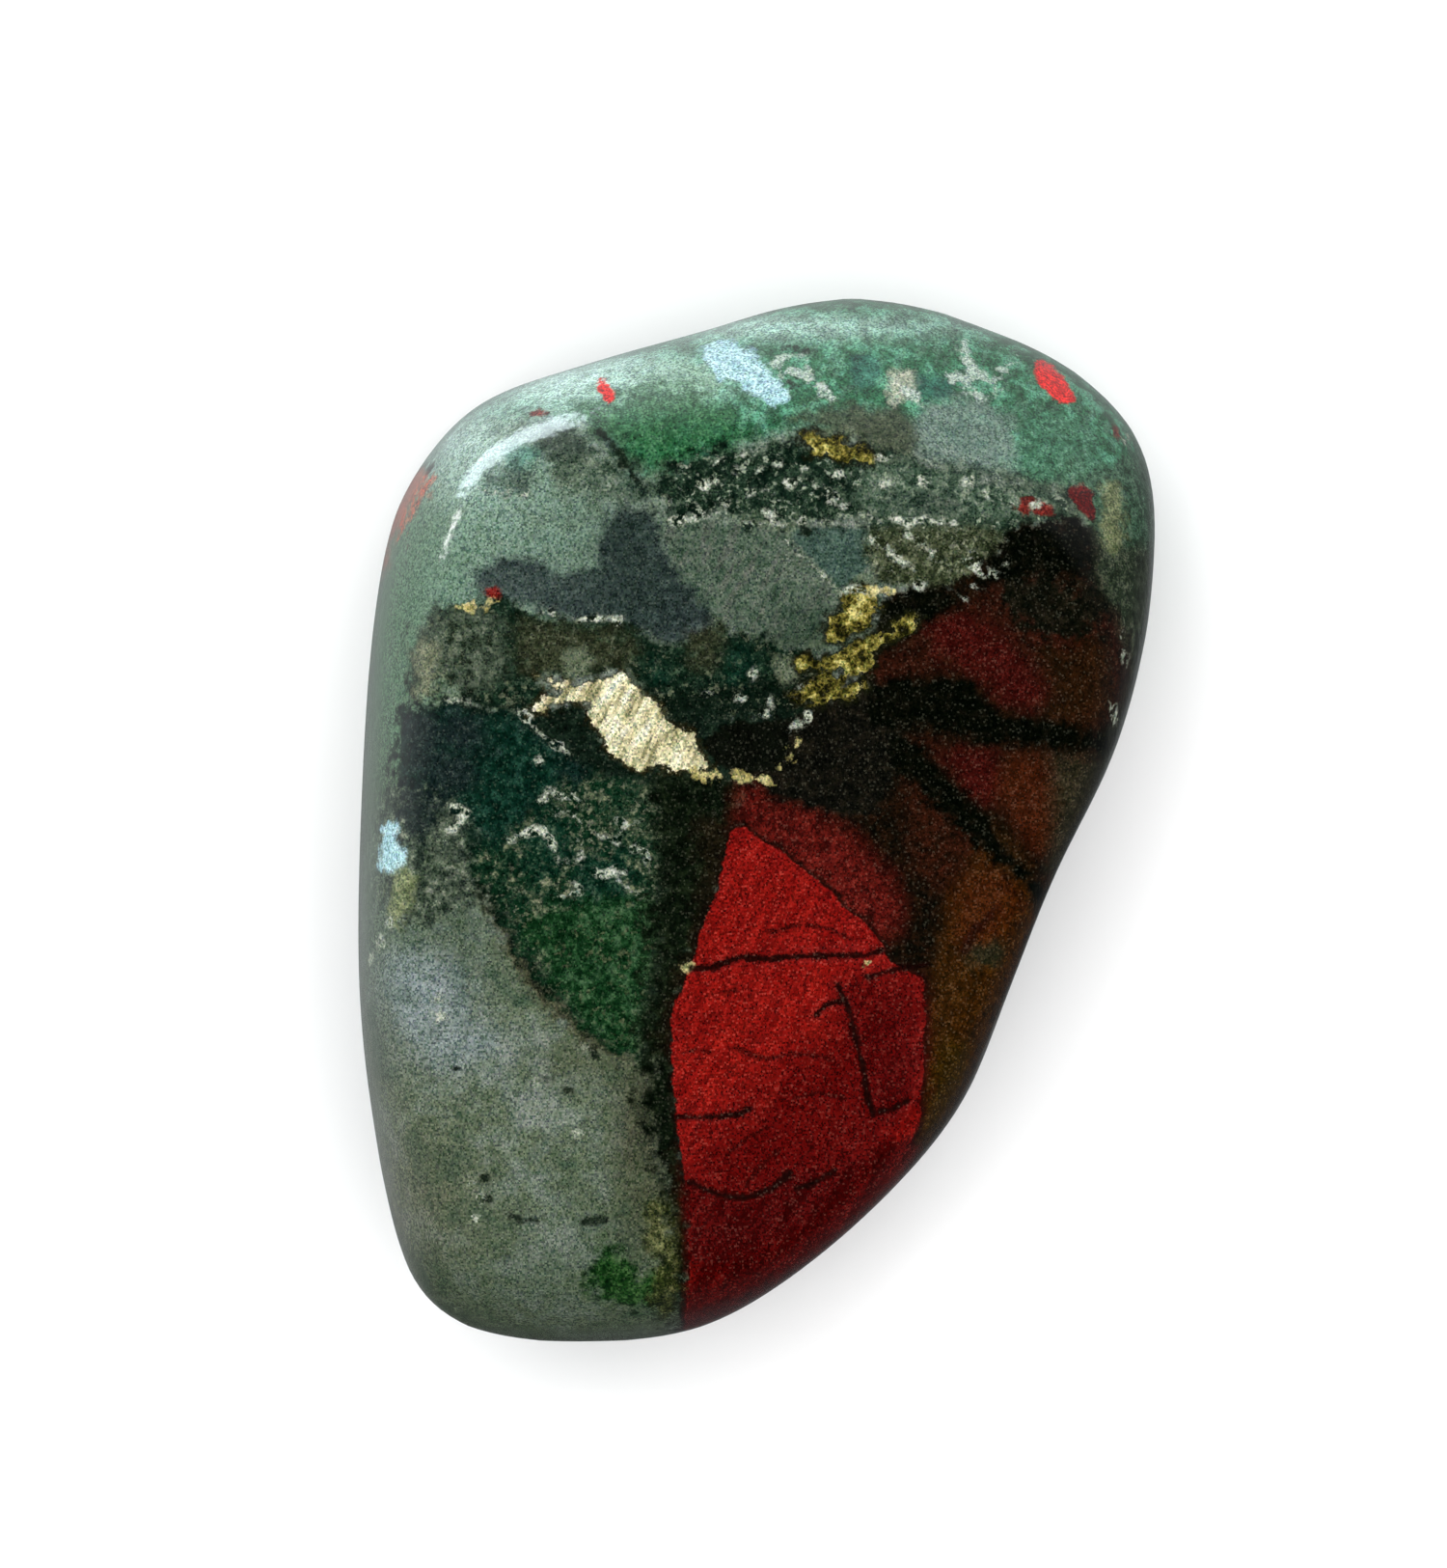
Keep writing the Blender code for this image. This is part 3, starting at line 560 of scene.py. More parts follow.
# The coats of colour, from the lowest up. Tones are as they look on a screen, from 0 to 255.
LAYERS = (
    wash("sage", (118, 146, 128)),
    wash("moss", (84, 118, 90)),
    wash("warm", (108, 104, 84)),
    wash("bark", (70, 72, 50)),
    # The next wash is partly painted shade along the bottom and the left rim, and partly darker
    # grey-green.
    wash("darker_and_rim_shade", (56, 76, 54)),
    wash("lilac", (136, 148, 150)),
    layer("top_green", (30, 76, 48), (48, 108, 74), (80, 148, 114), by="mottle", ragged=5, soft=14),
    layer("top_green", (98, 168, 136), soft=10, strength=0.35, where="patches"),
    layer("top_green", (88, 126, 104), soft=10, strength=0.45, where="streaky"),
    layer("top_green", (124, 182, 154), soft=10, strength=0.3, where="grains"),
    layer("pale_green_top", (110, 150, 116), (132, 172, 140), ragged=5, soft=10, strength=0.7),
    layer("grey_top", (98, 120, 110), (128, 148, 136), ragged=6, soft=10, strength=0.85),
    layer("olive_top", (50, 60, 42), (80, 88, 68), ragged=5, strength=0.85),
    layer("beige_top", (150, 158, 134), (210, 212, 192), soft=5, strength=0.85),
    layer("teal_top", (30, 84, 72), (60, 126, 108), by="mottle", soft=6, strength=0.75),
    layer("teal_green_top", (38, 82, 56), (62, 116, 86), (94, 144, 116), ragged=5, strength=0.85),
    layer("right_green", (34, 62, 42), (60, 96, 72), (92, 124, 100), ragged=5, soft=10),
    # The next wash is painted sheen, a pale reflection painted along the top and top-left rim.
    wash("painted_rim_sheen", (216, 250, 238)),
    layer("vivid_green", (24, 72, 38), (44, 100, 60), (74, 124, 84), ragged=8, soft=22, strength=0.85),
    layer("grey_below", (50, 70, 52), (82, 98, 80), (116, 128, 110), ragged=8, soft=14, strength=0.8),
    layer("lilac_patch", (108, 124, 118), (144, 156, 156), by="mottle", ragged=9, soft=12,
          strength=0.7),
    layer("slate", (33, 44, 43), (48, 60, 58), (61, 75, 72)),
    layer("grey_wedge", (62, 82, 66), (83, 101, 84), (101, 113, 98), ragged=2, soft=3),
    layer("grey_wedge", (104, 100, 96), ragged=2, soft=3, strength=0.3, where="streaky"),
    layer("teal_wedge", (56, 78, 68), (80, 104, 92), ragged=2, soft=3),
    wash("arm", (92, 110, 102)),
    wash("dusk", (36, 56, 42)),
    layer("mottled_band", (6, 20, 13), (14, 32, 22), (30, 50, 36), (68, 86, 66), spread=0.18, ragged=8,
          soft=10),
    layer("mottled_band", (48, 70, 52), strength=0.4, where="patches"),
    layer("mottled_band", (160, 172, 148), ragged=6, soft=10, strength=0.7, where="grains"),
    layer("olive_specked", (36, 44, 24), (60, 68, 44), (108, 114, 86), spread=0.16, ragged=5,
          strength=0.85),
    layer("olive_specked", (156, 162, 132), strength=0.5, where="grains"),
    layer("band_right", (52, 76, 58), (92, 116, 94), (146, 160, 138), ragged=8, soft=12, strength=0.6),
    layer("dark_top", (24, 38, 32), (50, 64, 54), ragged=7, soft=12, strength=0.6),
    layer("olive_band", (4, 15, 8), (11, 31, 20), (24, 46, 32), (58, 80, 60), spread=0.22, ragged=5,
          soft=6),
    layer("brown_olive", (58, 58, 38), (92, 88, 60), ragged=6, soft=12, strength=0.35),
    layer("olive_left", (36, 46, 32), (74, 88, 70), (116, 124, 104), ragged=8, soft=14, strength=0.7),
    layer("dark_olive", (6, 18, 10), (16, 30, 20), ragged=5, strength=0.92),
    layer("olive_band", (112, 120, 94), soft=6, strength=0.5, where="grains"),
    layer("pale_olive", (90, 102, 78), (124, 134, 110), ragged=5, soft=5, strength=0.8),
    layer("tan", (112, 118, 90), (150, 152, 120), ragged=5, strength=0.65),
    layer("left_mottle", (24, 38, 30), (50, 62, 50), (84, 96, 78), (132, 140, 120), spread=0.17,
          ragged=8, soft=14, strength=0.9),
    layer("left_mottle", (22, 36, 30), ragged=8, soft=10, strength=0.65, where="patches"),
    layer("brown_border", (54, 50, 32), (84, 82, 60), ragged=6, strength=0.8),
    layer("dark_mass", (8, 16, 10), (15, 29, 20), (30, 46, 34), spread=0.2, ragged=7, soft=7),
    layer("green_mottle", (6, 22, 13), (10, 38, 22), (22, 52, 34), (60, 74, 54), (120, 126, 98),
          spread=0.17, ragged=8),
    layer("green_mottle", (8, 44, 24), soft=6, strength=0.6, where="patches"),
    layer("green_mottle", (150, 154, 126), strength=0.42, where="grains"),
    layer("teal_black", (8, 22, 18), (14, 38, 31), (38, 58, 52), spread=0.16, ragged=6),
    layer("left_slate", (18, 32, 32), (36, 48, 46), ragged=9, strength=0.85),
    layer("deep_green", (4, 28, 19), (9, 45, 32), (26, 66, 50), ragged=9, soft=14, strength=0.8),
    layer("green_wedge", (8, 38, 16), (22, 58, 28), (52, 90, 56), ragged=8, soft=12, strength=0.9),
    layer("green_wedge", (86, 92, 66), ragged=6, soft=10, strength=0.6, where="grains"),
    layer("dark_strip", (44, 50, 34), grow=7, ragged=8, soft=14, strength=0.35),
    layer("dark_strip", (6, 12, 5), (11, 20, 10), (24, 34, 18), ragged=11, soft=15),
    layer("brown_edge", (18, 14, 7), (38, 28, 15), ragged=7, soft=12, strength=0.7),
    layer("dark_side", (10, 10, 5), (20, 13, 6), (34, 19, 8), soft=5),
    layer("right_rim", (22, 32, 18), (48, 62, 44), (92, 100, 80), spread=0.18, ragged=5, soft=14),
    layer("maroon", (26, 11, 5), (40, 16, 8), (54, 22, 11), ragged=5, soft=12),
    layer("brown_beside", (28, 16, 5), (48, 27, 9), ragged=6, soft=14, strength=0.85),
    layer("brown_under", (28, 14, 6), (60, 25, 12), ragged=6, soft=14, strength=0.85),
    layer("red_streak", (56, 9, 7), (76, 15, 12), ragged=7, soft=16, strength=0.75),
    layer("dark_patch", (6, 12, 6), (14, 17, 9), (30, 30, 20), ragged=9, soft=10, strength=0.9),
    layer("grey_right", (40, 42, 26), (62, 64, 46), ragged=6, soft=14, strength=0.6),
    layer("brown_right", (36, 21, 3), (56, 30, 4), (68, 40, 8), soft=14),
    layer("orange_brown", (62, 23, 5), (80, 34, 9), soft=16, strength=0.65),
    layer("olive_green", (48, 34, 3), (60, 46, 6), soft=12, strength=0.6),
    layer("teal_patch", (28, 36, 22), (42, 50, 34), strength=0.7),
    layer("brown_vein", (36, 12, 6), (48, 18, 8), by="mottle", ragged=2.5, soft=3, strength=0.8),
    layer("red_margin", (60, 12, 9), (86, 17, 12), (106, 25, 18), ragged=3, soft=20),
    layer("dark_wedge", (8, 9, 6), (16, 16, 11), (27, 24, 16)),
    layer("black", (2, 5, 2), (5, 8, 3), (16, 15, 8)),
    layer("red", (20, 12, 7), grow=5, ragged=2, soft=4, strength=0.8),
    layer("red", (114, 10, 8), (132, 15, 11), (146, 22, 16), by="fibres", ragged=1.5, soft=1.5),
    # The next coat is painted shade, darkening the red towards the lower right.
    layer("painted_red_shade", (70, 2, 2), (88, 3, 2), ragged=6, soft=36, strength=0.84),
    layer("red_right", (62, 3, 3), (80, 5, 5), by="fibres", ragged=2, soft=20, strength=0.6),
    # The next coat is partly the darker red below the lower crack, and partly painted shade along the
    # lower right rim.
    layer("dark_red_and_rim_shade", (52, 2, 2), (66, 4, 4), (80, 7, 6), by="fibres", ragged=3, strength=0.85),
    # The next coat is a painted highlight along the red's lower right rim.
    layer("red_rim_highlight", (104, 22, 16), ragged=2, soft=6, strength=0.4),
    layer("pod", (7, 9, 5), (15, 19, 12), by="mottle", ragged=2, soft=3),
    layer("cream", (46, 40, 18), grow=4, soft=4, strength=0.7),
    layer("cream", (150, 146, 104), (220, 212, 166), (244, 238, 198), (252, 248, 222), by="fibres",
          spread=0.16, soft=1.5),
    layer("cream", (110, 108, 70), soft=1.5, strength=0.45, where="pores"),
    layer("ochre", (24, 26, 12), grow=6, ragged=5, soft=4, strength=0.85),
    layer("ochre", (24, 24, 8), (80, 75, 26), (142, 132, 58), (208, 198, 120), spread=0.13, ragged=6,
          soft=1.5),
    # The pale blue spots are painted reflections on the top and left rims.
    layer("painted_blue_reflection", (160, 204, 212), (200, 236, 240), soft=4),
    layer("yellow_green", (90, 102, 66), (148, 156, 112), ragged=5, soft=6, strength=0.9),
    layer("edge_red", (200, 78, 48), (172, 104, 78), by="mottle", ragged=7, soft=7, strength=0.75),
    layer("dark_red_spots", (78, 7, 7), (102, 12, 12), ragged=2, soft=2),
    layer("low_green", (8, 34, 12), (26, 64, 24), (70, 104, 58), ragged=9, soft=9),
    layer("low_olive", (14, 24, 10), (56, 62, 28), (126, 128, 78), ragged=8, strength=0.85),
    layer("red_spots", (206, 14, 12), (250, 36, 28), ragged=2, soft=2),
    layer("back_green", (8, 34, 20), (24, 62, 38), (64, 98, 70), ragged=10, soft=10),
    layer("back_green", (140, 150, 122), ragged=8, soft=10, strength=0.6, where="grains"),
    layer("back_slate", (38, 50, 48), (66, 80, 78), ragged=9, soft=12),
    layer("back_red", (20, 12, 7), grow=6, soft=4, strength=0.85),
    layer("back_red", (88, 8, 6), (112, 14, 10), (134, 22, 16), by="fibres", soft=3),
    layer("back_cream", (60, 54, 30), grow=6, ragged=6, soft=5, strength=0.7),
    layer("back_cream", (96, 88, 48), (206, 198, 146), (232, 224, 178), ragged=9, soft=3),
    # The dark marks are dark streaks and spots, and in the pits they are painted shade.
    layer("dark_marks_and_pit_shade", (20, 32, 22), ragged=2.5, soft=2.5, strength=0.92),
    layer("red_marks", (88, 12, 10), (140, 24, 18), soft=3, strength=0.9),
    # The pale marks are pale grains and strokes, and at the pits they are painted highlights on the
    # pits' rims.
    layer("pale_marks_and_pit_highlights", (120, 132, 108), (170, 178, 158), (214, 220, 204), ragged=5, soft=2.5,
          where="broken"),
    layer("cream_marks", (160, 150, 88), (220, 210, 150), ragged=5, soft=2.5),
    layer("white_marks", (170, 192, 176), (214, 226, 214), ragged=5, soft=3, strength=0.85),
    layer("faint_cracks", (52, 6, 4), ragged=1.5, soft=2.0, strength=0.75),
    layer("cracks", (26, 7, 5), ragged=1.5, soft=2.5, strength=0.95),
)


def srgb(red, green, blue):
    """A colour given as it looks on a screen, from 0 to 255, as light."""
    return tuple((part / 255 / 12.92) if part < 11 else ((part / 255 + 0.055) / 1.055) ** 2.4
                 for part in (red, green, blue))


def smooth_loop(points, steps=3):
    """A closed smooth curve through the points, as a Catmull-Rom spline."""
    points = np.array(points, float)
    before, after, later = (np.roll(points, turn, axis=0) for turn in (1, -1, -2))
    made = []
    for t in np.linspace(0, 1, steps, endpoint=False):
        made.append(0.5 * (2 * points + (after - before) * t
                           + (2 * before - 5 * points + 4 * after - later) * t**2
                           + (3 * points - before - 3 * after + later) * t**3))
    return np.stack(made, axis=1).reshape(-1, 2)


def from_line(places, line, closed=False):
    """How far each place is from a line through points."""
    line = np.array(line, float)
    ends = np.roll(line, -1, axis=0) if closed else line[1:]
    nearest = np.full(len(places), np.inf)
    for start, end in zip(line, ends):
        run = end - start
        along = np.clip((places - start) @ run / max(run @ run, 1e-9), 0, 1)
        nearest = np.minimum(nearest, np.hypot(*(places - start - along[:, None] * run).T))
    return nearest


def is_inside(places, loop):
    """Which places lie inside a closed loop."""
    within = np.zeros(len(places), bool)
    x, y = places.T
    for (x0, y0), (x1, y1) in zip(loop, np.roll(loop, -1, axis=0)):
        if y0 == y1:
            continue
        crosses = (y0 > y) != (y1 > y)
        within ^= crosses & (x < x0 + (y - y0) * (x1 - x0) / (y1 - y0))
    return within


def near_box(places, points):
    """Which places are so near to the box round some points that their distance is kept."""
    low, high = np.min(points, axis=0) - FAR, np.max(points, axis=0) + FAR
    return np.all((places > low) & (places < high), axis=1)


def from_outlines(places, outlines):
    """The distance to the nearest of some outlines: below nothing inside them, at most FAR."""
    distance = np.full(len(places), float(FAR))
    for outline in outlines:
        loop = smooth_loop(outline)
        close = near_box(places, loop)
        away = from_line(places[close], loop, closed=True)
        away[is_inside(places[close], loop)] *= -1
        distance[close] = np.minimum(distance[close], away)
    return distance


def from_strokes(places, strokes):
    """The distance to the nearest edge of some strokes."""
    distance = np.full(len(places), float(FAR))
    for line, half_width in strokes:
        close = near_box(places, line)
        away = from_line(places[close], line) - half_width
        distance[close] = np.minimum(distance[close], away)
    return distance


def from_flecks(places, flecks):
    """The distance to the nearest edge of some small oval spots."""
    distance = np.full(len(places), float(FAR))
    for x, y, half_width, half_height in flecks:
        close = near_box(places, ((x, y),))
        off = (places[close] - (x, y)) / (half_width, half_height)
        away = (np.hypot(*off.T) - 1) * min(half_width, half_height)
        distance[close] = np.minimum(distance[close], away)
    return distance


def from_mark(places, mark):
    """The distance to the nearest stroke or fleck of a mark."""
    return np.minimum(from_strokes(places, mark.get("strokes", ())),
                      from_flecks(places, mark.get("flecks", ())))


def from_wash(places, blobs):
    """How strongly some soft blobs cover each place, from 0 to 1."""
    bare = np.ones(len(places))
    for x, y, half_width, half_height, strength in blobs:
        off = (places - (x, y)) / (half_width, half_height)
        bare *= 1 - strength * np.exp(-(off**2).sum(axis=1) * WASHES_THIN)
    return 1 - bare


def select_only(piece):
    """Makes a piece the only one that operators act on."""
    bpy.ops.object.select_all(action="DESELECT")
    piece.select_set(True)
    bpy.context.view_layer.objects.active = piece


def apply_modifier(piece, kind, **settings):
    """Puts a modifier on a piece and applies it."""
    modifier = piece.modifiers.new(kind.title(), kind)
    for name, value in settings.items():
        setattr(modifier, name, value)
    select_only(piece)
    bpy.ops.object.modifier_apply(modifier=modifier.name)


def vertex_places(piece):
    """Where the mesh's points are."""
    places = np.empty(len(piece.data.vertices) * 3)
    piece.data.vertices.foreach_get("co", places)
    return places.reshape(-1, 3)


def face_values(piece, kind):
    """The normals or the centres of the mesh's faces."""
    values = np.empty(len(piece.data.polygons) * 3)
    piece.data.polygons.foreach_get(kind, values)
    return values.reshape(-1, 3)


def seen_in_photo(places):
    """Where places on the stone are in the photo, in its pixels."""
    middle = np.array(PHOTO_SIZE) / 2
    off = (middle - STONE_MIDDLE) * (PIXEL, -PIXEL)
    nearer = CAMERA_AWAY / (CAMERA_AWAY - (places[:, 2] - GIRDLE))
    return middle + (places[:, :2] - off) * nearer[:, None] / (PIXEL, -PIXEL)


def copy_of_solid():
    """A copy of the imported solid, with its doubled points merged and its triangles paired."""
    select_only(frame["nodes"]["stone"])
    bpy.ops.object.duplicate()
    piece = bpy.context.active_object
    piece.name = "polished_stone"
    piece.parent = None
    del piece["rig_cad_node"]
    bpy.ops.object.mode_set(mode="EDIT")
    bpy.ops.mesh.select_all(action="SELECT")
    bpy.ops.mesh.remove_doubles(threshold=DOUBLED_WITHIN)
    bpy.ops.mesh.tris_convert_to_quads(face_threshold=math.pi, shape_threshold=math.pi)
    bpy.ops.object.mode_set(mode="OBJECT")
    return piece


def divide_faces(piece, chosen):
    """Divides the chosen faces of the stone in four."""
    select_only(piece)
    bpy.context.tool_settings.mesh_select_mode = (False, False, True)
    bpy.ops.object.mode_set(mode="EDIT")
    bpy.ops.mesh.select_all(action="DESELECT")
    bpy.ops.object.mode_set(mode="OBJECT")
    piece.data.polygons.foreach_set("select", chosen)
    bpy.ops.object.mode_set(mode="EDIT")
    bpy.ops.mesh.subdivide(number_cuts=1)
    bpy.ops.object.mode_set(mode="OBJECT")


def near_a_mark(centres):
    """Which faces of the stone's upper side are by a pit or a mark, but for the painted highlight along
    the red's rim.
    """
    seen = seen_in_photo(centres)
    nearest = from_flecks(seen, [(x, y, wide, wide) for x, y, wide, deep in PITS])
    for name, mark in MARKS.items():
        if name != "red_rim_highlight":
            nearest = np.minimum(nearest, from_mark(seen, mark))
    return (nearest < NEAR_A_MARK) & (centres[:, 2] > GIRDLE)


def fit_to_solid(piece):
    """Brings the stone back to the solid's own box, which the smoothing shrank it from."""
    low, high = (Vector(corner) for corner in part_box("stone"))
    places = vertex_places(piece)
    now_low, now_high = Vector(places.min(axis=0)), Vector(places.max(axis=0))
    grown = [(b - a) / (d - c) for a, b, c, d in zip(low, high, now_low, now_high)]
    select_only(piece)
    bpy.ops.object.mode_set(mode="EDIT")
    bpy.ops.mesh.select_all(action="SELECT")
    bpy.ops.transform.translate(value=(low + high) / 2 - (now_low + now_high) / 2)
    bpy.ops.transform.resize(value=grown, center_override=(low + high) / 2)
    bpy.ops.object.mode_set(mode="OBJECT")


def dense_stone():
    """The solid's copy with its facets smoothed away, dense on the face and round the marks."""
    piece = copy_of_solid()
    apply_modifier(piece, "SUBSURF", levels=2, render_levels=2)
    apply_modifier(piece, "REMESH", mode="VOXEL", voxel_size=VOXEL)
    apply_modifier(piece, "SMOOTH", **SMOOTHING)
    for rise in DIVIDED_ABOVE:
        divide_faces(piece, face_values(piece, "normal")[:, 2] > rise)
        apply_modifier(piece, "SMOOTH", **SMOOTHING)
    divide_faces(piece, near_a_mark(face_values(piece, "center")))
    fit_to_solid(piece)
    return piece


def keep(piece, name, values):
    """Keeps one value for each point of the mesh, for the material to read."""
    attribute = piece.data.attributes.new(name, "FLOAT", "POINT")
    attribute.data.foreach_set("value", values.astype(np.float32))


def outwards(seen):
    """The way out from the stone's middle at each place, as seen from above."""
    away = seen - STONE_MIDDLE
    return away / np.maximum(np.hypot(*away.T), 1)[:, None]


def bent(seen, depth):
    """Where each place is in a pattern that bends as it goes down through the stone."""
    waves = [np.sin(seen[:, axis] * speed + start)
             for axis, (speed, start) in zip((1, 0), BEND_WAVES)]
    return seen + np.stack(waves, axis=1) * depth[:, None] * BENDS


def uneven_reach(seen, number):
    """How much further or less far down a body reaches, as a share, at each place round the stone."""
    away = outwards(seen)
    turn = np.arctan2(away[:, 1], away[:, 0]) * REACH_WAVES
    return 1 + REACH_VARIES * np.sin(turn + number) * np.sin(turn * SECOND_WAVE + number * 2)


def keep_pattern(piece):
    """Keeps the distance to every body and mark, and the strength of every wash, on the stone."""
    places = vertex_places(piece)
    seen = seen_in_photo(places)
    depth = np.maximum(0, GIRDLE - places[:, 2]) / PIXEL
    down_sides = seen + outwards(seen) * depth[:, None] * SIDES_SPREAD
    through = bent(seen, depth)
    for number, (name, outlines) in enumerate(BODIES.items()):
        if name in ON_BACK:
            away = np.maximum(from_outlines(seen, outlines), BACK_STARTS - depth)
        elif name in THROUGH:
            away = from_outlines(through, outlines)
        else:
            past_end = depth - REACHES.get(name, REACH) / PIXEL * uneven_reach(seen, number)
            away = np.maximum(from_outlines(down_sides, outlines), past_end)
        keep(piece, name, np.minimum(away, FAR))
    for name, mark in MARKS.items():
        keep(piece, name, np.maximum(from_mark(seen, mark), depth - MARKS_END))
    for name, blobs in WASHES.items():
        keep(piece, name, from_wash(down_sides, blobs) * np.clip(1 - depth / WASHES_FADE, 0, 1))


def press_in(piece):
    """Presses the cracks and pits into the face."""
    places = vertex_places(piece)
    seen = seen_in_photo(places)
    beside_crack = np.maximum(from_strokes(seen, CRACKS), 0)
    pressed = np.clip(1 - beside_crack / CRACK_SLOPES, 0, 1) * CRACK_DEPTH
    for x, y, half_width, deep in PITS:
        off = np.hypot(*(seen - (x, y)).T) / half_width
        pressed = np.maximum(pressed, deep * np.exp(-off**2 * PITS_RISE))
    pressed = pressed * (places[:, 2] > GIRDLE)
    deepest = pressed.max()
    group = piece.vertex_groups.new(name="pressed_in")
    for index in np.nonzero(pressed > LEAST_DEPTH)[0]:
        group.add([int(index)], pressed[index] / deepest, "REPLACE")
    apply_modifier(piece, "DISPLACE", vertex_group=group.name, strength=-deepest * MM, mid_level=0)
    piece.vertex_groups.clear()


class Wiring:
    """Adds nodes to a material or a world and links them."""

    def __init__(self, owner):
        self.tree = owner.node_tree

    def add(self, kind, inputs=(), output=0, **settings):
        node = self.tree.nodes.new("ShaderNode" + kind)
        for name, value in settings.items():
            setattr(node, name, value)
        for name, value in dict(inputs).items():
            self.set(node.inputs[name], value)
        return node.outputs[output]

    def set(self, socket, value):
        if isinstance(value, bpy.types.NodeSocket):
            self.tree.links.new(value, socket)
        else:
            socket.default_value = value

    def kept(self, name):
        """A value that is kept on the mesh."""
        return self.add("Attribute", output="Fac", attribute_name=name)

    def maths(self, operation, *values):
        return self.add("Math", dict(enumerate(values)), operation=operation)

    def vectors(self, operation, *values, output=0):
        return self.add("VectorMath", dict(enumerate(values)), output, operation=operation)

    def scaled(self, place, size, turned=(0, 0, 0)):
        """Places measured in steps of a size, along turned axes."""
        inputs = {"Vector": place, "Rotation": turned, "Scale": size}
        return self.add("Mapping", inputs, vector_type="TEXTURE")

    def noise(self, where, scale, detail=2.0, roughness=0.5):
        inputs = {"Vector": where, "Scale": scale, "Detail": detail, "Roughness": roughness}
        return self.add("TexNoise", inputs)

    def step(self, value, low, high):
        """Rises softly from 0 at low to 1 at high."""
        inputs = {"Value": value, "From Min": low, "From Max": high}
        return self.add("MapRange", inputs, interpolation_type="SMOOTHSTEP", clamp=False)

    def straight(self, value, span, made):
        """Runs straight from one value to another as a value goes over a span."""
        inputs = {"Value": value, "From Min": span[0], "From Max": span[1],
                  "To Min": made[0], "To Max": made[1]}
        return self.add("MapRange", inputs)

    def mixed(self, share, first, second):
        inputs = {0: share, 6: first, 7: second}
        return self.add("Mix", inputs, output=2, data_type="RGBA")

    def tones(self, value, tones, spread):
        """Spreads some colours over a field of noise, whose middle is a half."""
        node = self.tree.nodes.new("ShaderNodeValToRGB")
        places = np.linspace(0.5 - spread, 0.5 + spread, len(tones))
        while len(node.color_ramp.elements) < len(tones):
            node.color_ramp.elements.new(0.5)
        for element, place, tone in zip(node.color_ramp.elements, places, tones):
            element.position = place
            element.color = srgb(*tone) + (1,)
        self.tree.links.new(value, node.inputs["Fac"])
        return node.outputs["Color"]


# The grey-green that the other minerals lie in: its tones, and how far they spread over the noise.
GREY_GREEN = ((68, 88, 68), (94, 107, 84), (105, 119, 102), (126, 136, 124))
GREY_GREEN_SPREAD = 0.12

# The noise fields that all the coats share: how many of their grains lie on a millimetre, how many
# finer octaves each has, and how strong the finer ones are.
FIELDS = {"cloud": (0.35, 1.0, 0.5), "mottle": (1.5, 3.0, 0.55), "grit": (2.8, 3.0, 0.68),
          "crumbs": (5.0, 2.0, 0.6)}

# The fibres: which way they run in degrees, how long, wide and deep they are in millimetres, and
# their noise.
FIBRES_RUN = 62
FIBRES_SIZE = (1.5, 0.3, 0.7)
FIBRES_NOISE = (1.0, 2.0, 0.6)

# The patterns that a coat can be kept to: the field that each follows, and where in it the coat
# starts and is whole. The grains lie only where both of theirs do.
PATTERNS = {
    "patches": ("mottle", 0.5, 0.6),
    "broken": ("grit", 0.42, 0.54),
    "pores": ("grit", 0.42, 0.34),
    "streaky": ("fibres", 0.5, 0.62),
}
GRAINS = (("crumbs", 0.53, 0.63), ("mottle", 0.47, 0.6))

# How much the mottle and the grit push the edges of the bodies in and out.
EDGE_MOTTLE = 6.0
EDGE_GRIT = 5.0

# How cloudy a wash is: how much the mottle adds to it, and the least it has.
WASH_CLOUDS = (1.6, 0.2)

# The specks of the finest grain: how many lie on a millimetre, and how their rows are turned.
SPECKS_A_MM = 17.0
SPECKS_TURNED = (0.5, 0.7, 0.4)

# How bright every tone is made, and the shares of that in a speck: the least that it has, what its
# light adds, and what its tint adds.
BRIGHTNESS = 0.62
SPECKS_LEAST = 0.3
SPECKS_LIGHT = 1.2
SPECKS_TINT = 0.2

# Where in a speck's light it starts to glint and where it glints fully, and the light that adds.
GLINTS = (0.86, 1.0)
GLINT_LIGHT = (0.016, 0.016, 0.011)

# The polish: its least roughness and how much the grit adds. Its ripples: how many lie on a
# millimetre and how many finer octaves they have, how strongly they show and how high they are.
LEAST_ROUGH = 0.09
GRIT_ROUGH = 0.1
RIPPLES = (2.6, 1.5)
RIPPLE_STRENGTH = 0.5
RIPPLE_HEIGHT = 0.035 * MM
JASPER_IOR = 1.54


def noise_fields(wiring, place, where):
    """The noise fields that the coats share, by name."""
    fields = {name: wiring.noise(where, *numbers) for name, numbers in FIELDS.items()}
    along = wiring.scaled(place, [side * MM for side in FIBRES_SIZE],
                          (0, 0, math.radians(FIBRES_RUN)))
    fields["fibres"] = wiring.noise(along, *FIBRES_NOISE)
    return fields


def noise_patterns(wiring, fields):
    """The patterns that a coat can be kept to, by name."""
    patterns = {name: wiring.step(fields[field], low, high)
                for name, (field, low, high) in PATTERNS.items()}
    patterns["grains"] = wiring.maths(
        "MULTIPLY", *(wiring.step(fields[field], low, high) for field, low, high in GRAINS))
    return patterns


